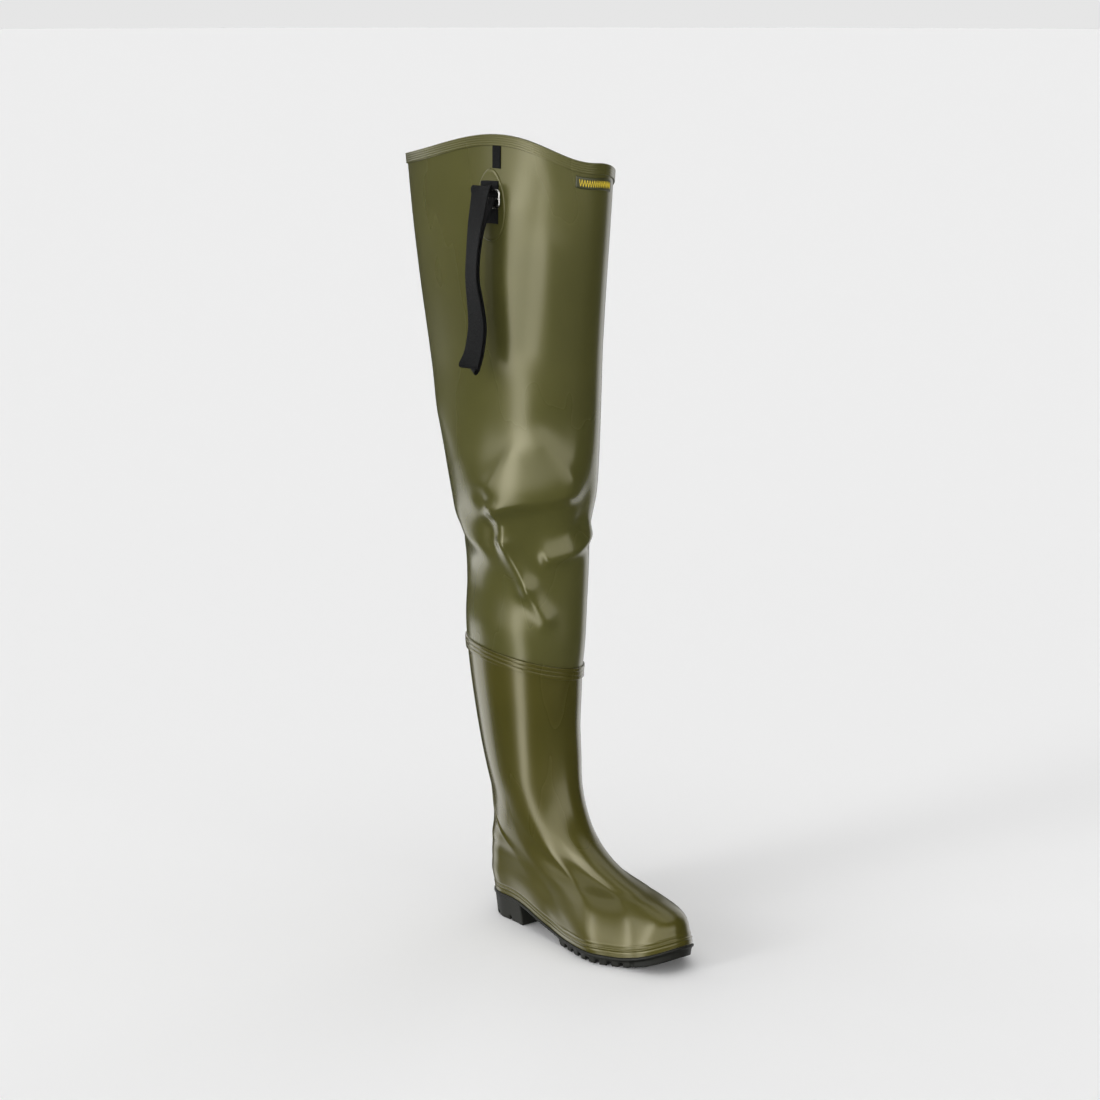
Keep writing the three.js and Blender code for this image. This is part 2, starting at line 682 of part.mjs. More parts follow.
// The patch is a pear outline, cut from a larger piece of skin
function patchGeometry() {
  const topPlace = collarPlace - patchDrop / peakRow;
  const places = spread(topPlace - 1.2 * patchHeight / peakRow, topPlace, 7);
  const half = 0.6 * patchWidth / radiusAt(fittingAngle);
  const around = spread(fittingAngle - half, fittingAngle + half, 6);
  const skin = toSolid(skinPatch(legSkin, places, around, gap, gap + patchThickness));
  const high = legPoint(topPlace, fittingAngle);
  const corners = 24;
  const outline = spread(2 * Math.PI, 2 * Math.PI / corners, corners).map((turn) => [
    high.x + 0.5 * patchWidth * (1 - pearShape * Math.cos(turn)) * Math.sin(turn),
    high.z - 0.5 * patchHeight * (1 - Math.cos(turn))]);
  return toGeometry(skin.intersect(sideCut(outline, 4 * thighWidth)));
}

// Frame of the strap's fittings: a point on the leg, with directions out, forward and up
const anchorPlace = collarPlace - (anchorDrop + anchorHeight / 2) / peakRow;
const seat = legSkin(anchorPlace, fittingAngle, 0);
const out = normalAt(legPoint, anchorPlace, fittingAngle, true);
const up = new THREE.Vector3(0, 0, 1);
const forward = new THREE.Vector3().crossVectors(up, out);

function fromSeat(side, outward, height) {
  return seat.clone().addScaledVector(forward, side).addScaledVector(out, outward).addScaledVector(up, height);
}

// The buckle stands on the anchor, and both ends of the strap lie on its bars
const onPatch = 2 * gap + patchThickness;
const buckleLift = 0.1 * anchorHeight;
const buckleOut = onPatch + anchorThickness + gap + buckleWire / 2;
const onBuckle = buckleOut + buckleWire / 2 + gap + strapThickness / 2;
const strapStart = 0.035;
const topBarDrop = strapStart - (buckleLift + buckleHeight / 2) / strapLength;
const middleBarDrop = strapStart - buckleLift / strapLength;

// The strap's route: down on the inner strand, round the fold and up on the outer one.
// out is a share of strapOut, drop a share of strapLength, side a share of strapWidth, turn in degrees.
const strapRoute = named(['out', 'drop', 'side', 'turn'], [
  [onBuckle / strapOut, middleBarDrop, 0, 0],
  [0.54, 0.07, 0.04, -8],
  [0.76, 0.16, -0.06, -14],
  [0.92, 0.3, -0.13, -20],
  [0.9, 0.45, -0.21, -20],
  [0.78, 0.6, -0.14, -12],
  [0.72, 0.72, -0.1, -7],
  [0.88, 0.85, -0.14, -3],
  [1.02, 0.92, -0.24, 3],
  [1.08, 0.945, -0.34, 3],
  [1.16, 0.92, -0.26, 3],
  [1.06, 0.85, -0.14, -3],
  [0.9, 0.72, -0.1, -7],
  [0.96, 0.6, -0.14, -12],
  [1.08, 0.45, -0.21, -20],
  [1.1, 0.3, -0.13, -20],
  [1.02, 0.16, -0.04, -14],
  [0.96, 0.06, 0.08, -8],
  [0.82, -0.02, 0.1, -4],
  [0.58, -0.055, 0, 0],
  [onBuckle / strapOut, topBarDrop, 0, 0],
]);

function strapGeometry() {
  const steps = 2 * strapRoute.length;
  const middle = (place) => {
    const row = rowAt(strapRoute, place);
    return fromSeat(row.side * strapWidth, row.out * strapOut, (strapStart - row.drop) * strapLength);
  };
  const loops = spread(0, strapRoute.length - 1, steps).map((place) => {
    const row = rowAt(strapRoute, place);
    const along = middle(place + 0.05).sub(middle(place - 0.05)).normalize();
    const across = forward.clone().applyAxisAngle(up, THREE.MathUtils.degToRad(row.turn));
    const face = new THREE.Vector3().crossVectors(along, across).normalize();
    across.crossVectors(face, along);
    const corner = (a, b) => middle(place)
      .addScaledVector(across, a * strapWidth / 2).addScaledVector(face, b * strapThickness / 2);
    return [corner(-1, -1), corner(1, -1), corner(1, 1), corner(-1, 1)];
  });
  const faces = [[0, 2, 1], [0, 3, 2]];
  for (let r = 0; r + 1 < loops.length; r++) {
    for (let c = 0; c < 4; c++) {
      const d = (c + 1) % 4;
      faces.push([4 * r + c, 4 * r + d, 4 * r + 4 + d]);
      faces.push([4 * r + c, 4 * r + 4 + d, 4 * r + 4 + c]);
    }
  }
  const last = 4 * (loops.length - 1);
  faces.push([last, last + 1, last + 2], [last, last + 2, last + 3]);
  return geometryOf(loops.flat(), faces);
}

// The buckle is a rectangle of round wire that stands on the anchor
function buckleGeometry() {
  const wire = new THREE.CylinderGeometry(buckleWire / 2, buckleWire / 2, 1, 8);
  const bars = [
    [0, buckleHeight / 2, buckleWidth, 0],
    [0, -buckleHeight / 2, buckleWidth, 0],
    [0, 0, buckleWidth, 0],
    [buckleWidth / 2, 0, buckleHeight, 1],
    [-buckleWidth / 2, 0, buckleHeight, 1]];
  let frame = null;
  for (const [side, height, length, upright] of bars) {
    const bar = wire.clone();
    bar.scale(1, length + buckleWire, 1);
    if (!upright) bar.rotateZ(Math.PI / 2);
    bar.translate(side, height, 0);
    frame = frame ? frame.add(toSolid(bar)) : toSolid(bar);
  }
  const geometry = toGeometry(frame);
  geometry.rotateX(Math.PI / 2);
  return geometry;
}

// Colours and finishes
const olive = { color: 0x5d5c2c, roughness: 0.32, metalness: 0 };
const webbing = { color: 0x15181d, roughness: 0.85, metalness: 0 };
const finishes = {
  outsole: { color: 0x22221f, roughness: 0.6, metalness: 0 },
  insole: { color: 0xb9b39c, roughness: 0.95, metalness: 0 },
  nickel: { color: 0xc9c9c4, roughness: 0.25, metalness: 1 },
  label: { color: 0x1d2413, roughness: 0.5, metalness: 0 },
};

const group = new THREE.Group();

function addPart(name, geometry, finish) {
  const mesh = new THREE.Mesh(geometry, new THREE.MeshStandardMaterial(finish));
  mesh.name = name;
  group.add(mesh);
  return mesh;
}

addPart('outsole', outsoleGeometry(), finishes.outsole);
addPart('upper', upperGeometry(), olive);
addPart('insole', insoleGeometry(), finishes.insole);
addPart('joint_band', bandGeometry(), olive);
addPart('shaft', shaftGeometry(), olive);
addPart('collar_binding', bindingGeometry(), olive);
addPart('hanger_tab',
  legPlate(tabAngle, tabDrop, tabWidth, tabHeight, gap, gap + tabThickness, 4), webbing);
addPart('strap_patch', patchGeometry(), olive);
addPart('strap_anchor',
  legPlate(fittingAngle, anchorDrop, strapWidth, anchorHeight, onPatch, onPatch + anchorThickness, 5), webbing);
addPart('belt_strap', strapGeometry(), webbing);
addPart('label',
  legPlate(labelAngle, bindingHeight + 0.2 * labelHeight, labelWidth, labelHeight,
    gap, gap + labelThickness, 6), finishes.label);
const buckle = addPart('buckle', buckleGeometry(), finishes.nickel);
buckle.position.copy(fromSeat(0, buckleOut, buckleLift));
buckle.rotation.z = Math.atan2(forward.y, forward.x);

export default group;
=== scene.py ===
"""Looks of a thigh-length rubber boot, right foot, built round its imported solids.

The boot's own frame: +X to the toe, +Y to the inner side, +Z up, origin in the middle of the heel's
tread. Shapes are worked out in millimetres and become metres when a mesh is made.
"""
import math

import bmesh
import bpy
import numpy as np
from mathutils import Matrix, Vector


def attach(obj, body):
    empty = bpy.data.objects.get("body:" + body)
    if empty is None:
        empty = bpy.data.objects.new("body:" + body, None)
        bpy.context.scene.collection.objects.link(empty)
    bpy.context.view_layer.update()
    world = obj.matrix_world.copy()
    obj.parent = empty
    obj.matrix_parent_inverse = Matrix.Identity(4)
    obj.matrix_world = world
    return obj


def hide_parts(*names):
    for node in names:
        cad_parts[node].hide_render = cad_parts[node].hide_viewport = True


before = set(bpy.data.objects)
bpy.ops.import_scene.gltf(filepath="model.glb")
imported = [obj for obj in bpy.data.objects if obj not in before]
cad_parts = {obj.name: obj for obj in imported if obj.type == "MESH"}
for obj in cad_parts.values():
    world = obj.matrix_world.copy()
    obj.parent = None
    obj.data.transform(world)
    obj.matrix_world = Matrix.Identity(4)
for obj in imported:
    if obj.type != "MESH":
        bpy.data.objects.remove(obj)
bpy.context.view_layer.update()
MM = 0.001

# Sizes in millimetres and shares, as in the part's source
SOLE_LENGTH, BALL_WIDTH, HEEL_HEIGHT, FOREFOOT_HEIGHT, TOE_SPRING = 300, 101, 30, 12.5, 20
HEEL_REST, BOOT_RISE, BOOT_WALL = 38, 287, 2.2
SHAFT_RISE, SHAFT_WALL = 529, 1.3
THIGH_DEPTH, THIGH_BACK, THIGH_WIDTH, THIGH_LEAN = 312, 113, 144, 31
COLLAR_PEAK, COLLAR_SHOULDER, COLLAR_DIP, COLLAR_SKEW = 39, 12, 18, 0.46
FOXING_HEIGHT, FOXING_STEP, COUNTER_STEP, COUNTER_PEAK, COUNTER_REACH = 8.5, 1.2, 0.9, 140, 165
SOLE_RIM, RIM_LIP, HEEL_INSET, HEEL_BREAST, ARCH_THICKNESS = 3.5, 1.5, 3, 74, 4.5
FOREFOOT_START, SPRING_START = 148, 240
LUG_DEPTH, LUG_PITCH, LUG_GROOVE, HEEL_PITCH, HEEL_GROOVE = 5.5, 14, 5, 24, 4
BAND_HEIGHT, BAND_THICKNESS, BINDING_HEIGHT, BINDING_THICKNESS = 14.5, 1.7, 11.8, 1.3
SEAM_WIDTH, SEAM_STEP = 11, 0.6
SEAM_ANGLE, SEAM_SLANT = math.radians(280), math.radians(-21)
FOLD_DEPTH, FOLD_REACH = 9, 30
STRAP_WIDTH, STRAP_THICKNESS, STRAP_LENGTH, STRAP_OUT = 25, 1.6, 190, 23.5
ANCHOR_HEIGHT, ANCHOR_THICKNESS, PATCH_WIDTH, PATCH_HEIGHT, PATCH_THICKNESS = 42, 1.4, 44, 72, 0.9
TAB_WIDTH, TAB_HEIGHT, TAB_THICKNESS = 11, 20, 1.2
BUCKLE_WIDTH, BUCKLE_HEIGHT, BUCKLE_WIRE = 31, 18, 2.4
LABEL_WIDTH, LABEL_HEIGHT, LABEL_THICKNESS = 44, 10, 0.8
GAP = 0.3
# How much fuller the instep and toes are than on the solid
FOOT_BULK = 3.2

FOOT_NAMES = ("back front riseBack riseFront heelOut heelIn waistOut waistIn ballOut ballIn "
              "toeOut toeIn roundBack roundFront follow swing side bank").split()
FOOT = np.array([
    [0.005, 0.987, 0, 0, 0.37, 0.35, 0.42, 0.32, 0.525, 0.485, 0.355, 0.425,
     0.125, 0.19, 1, 0.045, 0, 0],
    [-0.003, 0.983, 0.042, 0.043, 0.385, 0.355, 0.435, 0.355, 0.55, 0.51, 0.365, 0.43,
     0.13, 0.19, 1, 0.045, 0, 0],
    [-0.01, 0.969, 0.084, 0.083, 0.395, 0.365, 0.435, 0.375, 0.535, 0.5, 0.335, 0.4,
     0.13, 0.2, 0.8, 0.045, 0, 0],
    [-0.01, 0.935, 0.125, 0.12, 0.395, 0.365, 0.42, 0.375, 0.485, 0.455, 0.295, 0.345,
     0.14, 0.21, 0.5, 0.045, 0, 0],
    [-0.01, 0.875, 0.16, 0.142, 0.385, 0.355, 0.405, 0.365, 0.42, 0.385, 0.245, 0.275,
     0.15, 0.22, 0.25, 0.04, -0.01, 0],
    [-0.007, 0.783, 0.199, 0.159, 0.375, 0.355, 0.395, 0.355, 0.36, 0.325, 0.22, 0.23,
     0.17, 0.25, 0.1, 0.03, -0.02, 0],
    [0, 0.68, 0.24, 0.188, 0.375, 0.355, 0.385, 0.345, 0.335, 0.285, 0.24, 0.21,
     0.2, 0.3, 0, 0.02, -0.04, 0],
    [0.01, 0.583, 0.289, 0.237, 0.375, 0.355, 0.385, 0.355, 0.345, 0.305, 0.285, 0.26,
     0.28, 0.38, 0, 0.01, -0.06, 0],
    [0.017, 0.507, 0.348, 0.307, 0.395, 0.365, 0.395, 0.375, 0.375, 0.355, 0.355, 0.335,
     0.38, 0.46, 0, 0, -0.08, 0],
    [0.008, 0.457, 0.418, 0.394, 0.41, 0.385, 0.42, 0.395, 0.42, 0.395, 0.41, 0.385,
     0.46, 0.5, 0, 0, -0.09, 0],
    [-0.012, 0.433, 0.505, 0.491, 0.44, 0.415, 0.45, 0.425, 0.45, 0.425, 0.44, 0.415,
     0.5, 0.5, 0, 0, -0.105, 0],
    [-0.034, 0.423, 0.61, 0.603, 0.47, 0.455, 0.47, 0.455, 0.47, 0.455, 0.47, 0.455,
     0.5, 0.5, 0, 0, -0.115, 0],
    [-0.06, 0.423, 0.742, 0.721, 0.483, 0.475, 0.483, 0.475, 0.483, 0.475, 0.483, 0.475,
     0.5, 0.5, 0, 0, -0.135, -0.04],
    [-0.08, 0.43, 0.875, 0.833, 0.505, 0.505, 0.505, 0.505, 0.505, 0.505, 0.505, 0.505,
     0.5, 0.5, 0, 0, -0.15, -0.1],
    [-0.093, 0.437, 1, 0.951, 0.525, 0.525, 0.525, 0.525, 0.525, 0.525, 0.525, 0.525,
     0.5, 0.5, 0, 0, -0.163, -0.17],
])
LEG_NAMES = "rise back front width side tilt bank".split()
LEG = np.array([
    [0, 0, 0, 0, 0, 1, 1],
    [0.066, 0, 0.07, 0.1, 0.03, 1, 0.7],
    [0.147, 0, 0.09, 0.1, -0.1, 0.7, 0.35],
    [0.232, 0.024, 0.19, 0.16, 0.03, 0.35, 0.1],
    [0.327, 0.19, 0.37, 0.47, 0.24, 0.15, 0],
    [0.422, 0.333, 0.456, 0.68, 0.38, 0, 0],
    [0.535, 0.464, 0.56, 0.79, 0.59, 0, 0],
    [0.648, 0.595, 0.66, 0.84, 0.79, 0, 0],
    [0.762, 0.738, 0.78, 0.895, 0.93, 0, 0],
    [0.883, 0.88, 0.897, 0.947, 1, 0.14, 0.12],
    [1, 1, 1, 1, 1, -0.43, 0.24],
])
# Knee folds: angle, rise to angle, rise; reach, depth, lean of the flanks (positive: the first side
# seen along the run is the wider one). Angles in degrees, the rest as shares. The table is the scene's
# own, with more rows than the solids' one. The last four rows are shallow waves on the thigh.
FOLDS = np.array([
    [110, 0.332, 162, 0.368, 1.0, 1.5, 0.6],
    [122, 0.43, 108, 0.37, 0.5, 0.25, 0.4],
    [148, 0.46, 168, 0.4, 0.5, 0.25, -0.4],
    [142, 0.29, 190, 0.296, 0.55, -0.4, 0],
    [188, 0.304, 216, 0.288, 0.8, -0.6, 0],
    [152, 0.232, 214, 0.272, 0.36, 0.6, 0.2],
    [110, 0.312, 112, 0.262, 0.42, 0.6, 0],
    [113, 0.246, 130, 0.176, 0.42, 0.6, 0],
    [135, 0.158, 150, 0.114, 0.42, 0.55, 0],
    [103, 0.34, 105, 0.25, 0.38, -0.5, 0],
    [72, 0.262, 88, 0.25, 1.2, 1.1, 0.4],
    [60, 0.5, 82, 0.42, 1, 0.4, 0],
    [30, 0.27, 60, 0.255, 0.4, -0.65, 0],
    [5, 0.3, 35, 0.3, 0.65, -0.6, 0],
    [290, 0.26, 330, 0.3, 0.7, -0.45, 0],
    [132, 0.64, 141, 0.94, 0.55, -0.16, 0],
    [112, 0.6, 121, 0.88, 0.5, 0.12, 0],
    [160, 0.56, 152, 0.84, 0.6, 0.12, 0],
    [88, 0.6, 84, 0.86, 0.6, -0.1, 0],
])
COUNTER_EDGE = np.array([[0.84, 0.09], [0.55, 0.32], [0.3, 0.52], [0.15, 0.74], [0.02, 1]])


# The boot's own functions, as in the part's source
def ease(low, high, value):
    t = np.clip((value - low) / (high - low), 0, 1)
    return t * t * (3 - 2 * t)


def lerp(a, b, t):
    return a + (b - a) * t


def spring_at(x):
    past = np.maximum(x + HEEL_REST - SPRING_START, 0)
    return TOE_SPRING * (past / (SOLE_LENGTH - SPRING_START)) ** 1.7


def feather_at(x):
    step = ease(0.183 * SOLE_LENGTH, 0.55 * SOLE_LENGTH, x + HEEL_REST)
    return lerp(HEEL_HEIGHT, FOREFOOT_HEIGHT, step) + spring_at(x)


def row_at(table, names, place):
    """The table's row at any place between its rows, on a smooth curve, as a dict of arrays."""
    place = np.asarray(place, float)
    k = np.clip(np.floor(place).astype(int), 0, len(table) - 2)
    t = (place - k)[..., None]
    b, c = table[k], table[k + 1]
    a = np.where((k > 0)[..., None], table[np.maximum(k - 1, 0)], 2 * b - c)
    d = np.where((k + 2 < len(table))[..., None], table[np.minimum(k + 2, len(table) - 1)], 2 * c - b)
    row = b + 0.5 * t * (c - a + t * (2 * a - 5 * b + 4 * c - d + t * (3 * (b - c) + d - a)))
    return {name: row[..., i] for i, name in enumerate(names)}


def width_at(along, widths):
    places = [-1, 0.16, 0.42, 0.7, 0.88, 2]
    values = [widths[0], *widths, widths[3]]
    out = np.zeros(np.broadcast(along, *widths).shape)
    for k in range(5):
        part = lerp(values[k], values[k + 1], ease(places[k], places[k + 1], along))
        out = np.where((along >= places[k]) & (along < places[k + 1]), part, out)
    return out


def quarter_round(share):
    return np.sqrt(np.maximum(1 - (1 - np.minimum(share, 1)) ** 2, 0))


def foot_point(place, angle):
    row = row_at(FOOT, FOOT_NAMES, place)
    along = (1 - np.cos(angle)) / 2
    outer = np.sin(angle) >= -1e-9
    widths = [np.where(outer, row[n + "Out"], row[n + "In"]) for n in ("heel", "waist", "ball", "toe")]
    x = lerp(row["back"], row["front"], along) * SOLE_LENGTH - HEEL_REST
    rounding = quarter_round(along / row["roundBack"]) * quarter_round((1 - along) / row["roundFront"])
    half = width_at(along, widths) * rounding * BALL_WIDTH
    middle = (row["side"] + row["swing"] * ease(0.55, 1, along)) * BALL_WIDTH
    y = middle + np.where(outer, -half, half)
    base = lerp(HEEL_HEIGHT, feather_at(x), row["follow"])
    rise = lerp(row["riseBack"], row["riseFront"], along) * BOOT_RISE
    z = base + rise + row["bank"] * (y - row["side"] * BALL_WIDTH)
    return np.stack(np.broadcast_arrays(x, y, z), -1)


RING_PLACE = len(FOOT) - 1
RING_ROW = dict(zip(FOOT_NAMES, FOOT[-1]))
RING_BACK = RING_ROW["back"] * SOLE_LENGTH - HEEL_REST
RING_FRONT = RING_ROW["front"] * SOLE_LENGTH - HEEL_REST
RING_HALF = RING_ROW["waistOut"] * BALL_WIDTH
RING_SIDE = RING_ROW["side"] * BALL_WIDTH
RING_HEIGHT = HEEL_HEIGHT + RING_ROW["riseBack"] * BOOT_RISE
RING_TILT = (RING_ROW["riseFront"] - RING_ROW["riseBack"]) * BOOT_RISE
RING_RADIUS = (RING_FRONT - RING_BACK) / 2
COLLAR_PLACE = len(LEG) - 1
COLLAR_ROW = (LEG[-1, 0] - LEG[-2, 0]) * SHAFT_RISE
JOINT_ROW = LEG[1, 0] * SHAFT_RISE


def collar_lift(angle):
    peak = (COLLAR_PEAK - COLLAR_SHOULDER) * np.maximum(np.sin(angle - COLLAR_SKEW * np.sin(angle)), 0) ** 3
    dip = (COLLAR_SHOULDER + COLLAR_DIP) * np.maximum(-np.sin(angle), 0) ** 1.8
    return COLLAR_SHOULDER + peak - dip


def leg_point(place, column):
    row = row_at(LEG, LEG_NAMES, place)
    angle = column + SEAM_SLANT * row["rise"] * 0.5 * (1 + np.cos(column - SEAM_ANGLE))
    back = lerp(RING_BACK, -THIGH_BACK - HEEL_REST, row["back"])
    front = lerp(RING_FRONT, THIGH_DEPTH - THIGH_BACK - HEEL_REST, row["front"])
    half = lerp(RING_HALF, THIGH_WIDTH / 2, row["width"])
    side = lerp(RING_SIDE, -THIGH_LEAN, row["side"])
    along = (1 - np.cos(angle)) / 2
    x = lerp(back, front, along)
    y = side - half * np.sin(angle)
    lift = row["tilt"] * RING_TILT * along + row["bank"] * RING_ROW["bank"] * (y - side)
    z = RING_HEIGHT + row["rise"] * SHAFT_RISE + lift + row["rise"] ** 2 * collar_lift(angle)
    return np.stack(np.broadcast_arrays(x, y, z), -1)


def fold_at(place, column):
    """How far the folds push the leg's wall out. Each fold runs from one place to another."""
    rise = row_at(LEG, LEG_NAMES, place)["rise"] * SHAFT_RISE
    degrees = np.degrees(column)
    push = 0
    for a0, r0, a1, r1, reach, depth, lean in FOLDS:
        run = np.array([math.radians(a1 - a0) * RING_RADIUS, (r1 - r0) * SHAFT_RISE])
        here_u = np.radians(degrees - a0) * RING_RADIUS
        here_v = rise - r0 * SHAFT_RISE
        share = np.clip((here_u * run[0] + here_v * run[1]) / (run @ run), 0, 1)
        off_u, off_v = here_u - share * run[0], here_v - share * run[1]
        away = np.hypot(off_u, off_v)
        side = (run[0] * off_v - run[1] * off_u) / (np.hypot(*run) * np.maximum(away, 1e-6))
        push = push + depth * FOLD_DEPTH * np.exp(-(away / (reach * FOLD_REACH * (1 + lean * side))) ** 1.8)
    return push


def normal_at(surface, place, angle, flat=False):
    turn, step = 0.01, 0.02
    around = surface(place, angle + turn) - surface(place, angle - turn)
    up = surface(place + step, angle) - surface(place - step, angle)
    normal = np.cross(around, up)
    if flat is not False:
        normal[..., 2] = np.where(flat, 0, normal[..., 2])
    return normal / np.linalg.norm(normal, axis=-1, keepdims=True)


def foot_skin(place, angle, offset, flat=False):
    place, angle = np.broadcast_arrays(np.asarray(place, float), np.asarray(angle, float))
    skin = foot_point(place, angle) + normal_at(foot_point, place, angle, flat) * np.asarray(offset)[..., None]
    skin[..., 2] = np.where(place == 0, feather_at(skin[..., 0]), skin[..., 2])
    return skin


def leg_skin(place, angle, offset, flat=False):
    place, angle = np.broadcast_arrays(np.asarray(place, float), np.asarray(angle, float))
    push = np.asarray(offset) + fold_at(place, angle)
    return leg_point(place, angle) + normal_at(leg_point, place, angle, flat) * push[..., None]


# Meshes
def make_object(name, points, faces, uvs=None, materials=(), indices=None, smooth=True):
    mesh = bpy.data.meshes.new(name)
    mesh.from_pydata((np.asarray(points) * MM).tolist(), [], [list(f) for f in faces])
    if uvs is not None:
        layer = mesh.uv_layers.new(name="UVMap")
        layer.data.foreach_set("uv", np.asarray(uvs, np.float32).ravel())
    for material in materials:
        mesh.materials.append(material)
    if indices is not None:
        mesh.polygons.foreach_set("material_index", np.asarray(indices, np.int32))
    mesh.polygons.foreach_set("use_smooth", [smooth] * len(mesh.polygons))
    mesh.update()
    obj = bpy.data.objects.new(name, mesh)
    bpy.context.scene.collection.objects.link(obj)
    return obj


def grid_faces(rows, cols, start=0, closed=False, wrap=True, caps=False):
    """Faces between rows of points numbered from start, and over the first and last row if capped."""
    faces = [(start + r * cols + c, start + r * cols + (c + 1) % cols,
              start + (r + 1) % rows * cols + (c + 1) % cols, start + (r + 1) % rows * cols + c)
             for r in range(rows if closed else rows - 1) for c in range(cols if wrap else cols - 1)]
    if caps:
        faces.append(tuple(start + c for c in range(cols))[::-1])
        faces.append(tuple(start + (rows - 1) * cols + c for c in range(cols)))
    return faces


def loops_object(name, loops, u, v, materials, row_material=None, closed=False, caps=False):
    """Loops of points (rows, columns, 3) joined in order, the last with the first when closed."""
    rows, cols = loops.shape[:2]
    last = rows if closed else rows - 1
    r, c = np.meshgrid(np.arange(last), np.arange(cols), indexing="ij")
    u, v = np.append(u, u[0] + 1), np.append(v, v[-1])
    corners = [np.stack([u[c + a], v[r + b]], -1) for a, b in ((0, 0), (1, 0), (1, 1), (0, 1))]
    uvs = np.stack(corners, 2).reshape(-1, 2)
    index = np.zeros(last * cols, int)
    if row_material is not None:
        index = np.repeat(np.asarray(row_material)[:last], cols)
    if caps:
        uvs = np.concatenate([uvs, np.zeros((2 * cols, 2))])
        index = np.concatenate([index, [0, 0]])
    faces = grid_faces(rows, cols, closed=closed, caps=caps)
    return make_object(name, loops.reshape(-1, 3), faces, uvs, materials, index)


def smooth_line(table, count):
    places = np.linspace(0, len(table) - 1, count)
    names = [str(k) for k in range(table.shape[1])]
    row = row_at(table, names, places)
    return np.stack([row[n] for n in names], -1)


def turn_out(obj):
    """Faces look outwards."""
    bm = bmesh.new()
    bm.from_mesh(obj.data)
    bmesh.ops.recalc_face_normals(bm, faces=bm.faces)
    bm.to_mesh(obj.data)
    bm.free()
    return obj


# Materials
class Nodes:
    """A node tree with short ways to make and link nodes."""

    def __init__(self, tree):
        self.tree = tree

    def node(self, kind, **values):
        """A new node, with its settings and inputs by name (_ for a space in an input's name)."""
        node = self.tree.nodes.new("ShaderNode" + kind)
        for key, value in values.items():
            if hasattr(node, key):
                setattr(node, key, value)
            else:
                node.inputs[key.replace("_", " ")].default_value = value
        return node

    def link(self, source, target):
        self.tree.links.new(source, target)

    def coordinates(self, kind="Object"):
        return self.node("TexCoord").outputs[kind]

    def noise(self, source, scale, detail, roughness=0.5, stretch=None):
        if stretch is not None:
            mapping = self.node("Mapping", Scale=stretch)
            self.link(source, mapping.inputs["Vector"])
            source = mapping.outputs["Vector"]
        noise = self.node("TexNoise", Scale=scale, Detail=detail, Roughness=roughness)
        self.link(source, noise.inputs["Vector"])
        return noise.outputs["Fac"]

    def wave(self, source, scale, distortion=0.0, direction="X"):
        wave = self.node("TexWave", bands_direction=direction, Scale=scale, Distortion=distortion)
        self.link(source, wave.inputs["Vector"])
        return wave.outputs["Fac"]

    def ramp(self, fac, stops):
        """A blend between two colours, each with its place."""
        ramp = self.node("ValToRGB")
        for element, (place, colour) in zip(ramp.color_ramp.elements, stops):
            element.position = place
            element.color = (*colour, 1)
        self.link(fac, ramp.inputs["Fac"])
        return ramp.outputs["Color"]

    def range(self, fac, low, high, to_low, to_high):
        node = self.node("MapRange", interpolation_type="SMOOTHSTEP",
                         From_Min=low, From_Max=high, To_Min=to_low, To_Max=to_high)
        self.link(fac, node.inputs["Value"])
        return node.outputs["Result"]

    def math(self, operation, a, b=None):
        node = self.node("Math", operation=operation)
        for socket, value in zip(node.inputs, (a, b)):
            if isinstance(value, (int, float)):
                socket.default_value = value
            elif value is not None:
                self.link(value, socket)
        return node.outputs["Value"]

    def mix(self, fac, a, b):
        node = self.node("Mix", data_type="RGBA")
        self.link(fac, node.inputs["Factor"])
        for socket, value in ((node.inputs[6], a), (node.inputs[7], b)):
            if isinstance(value, tuple):
                socket.default_value = (*value, 1)
            else:
                self.link(value, socket)
        return node.outputs[2]

    def bump(self, height, strength, distance, after=None):
        node = self.node("Bump", Strength=strength, Distance=distance)
        self.link(height, node.inputs["Height"])
        if after is not None:
            self.link(after, node.inputs["Normal"])
        return node.outputs["Normal"]


class Shader(Nodes):
    """A new material's nodes, round its own shader."""

    def __init__(self, name):
        self.material = bpy.data.materials.new(name)
        self.material.use_nodes = True
        super().__init__(self.material.node_tree)
        self.body = next(n for n in self.tree.nodes if n.type == "BSDF_PRINCIPLED")

    def set(self, **values):
        """Plain values on the shader's inputs."""
        for key, value in values.items():
            self.body.inputs[key.replace("_", " ")].default_value = value

    def feed(self, **sources):
        """Other nodes' outputs into the shader's inputs."""
        for key, source in sources.items():
            self.link(source, self.body.inputs[key.replace("_", " ")])


def srgb(r, g, b):
    return tuple(((c / 255 + 0.055) / 1.055) ** 2.4 if c > 10 else c / 255 / 12.92 for c in (r, g, b))


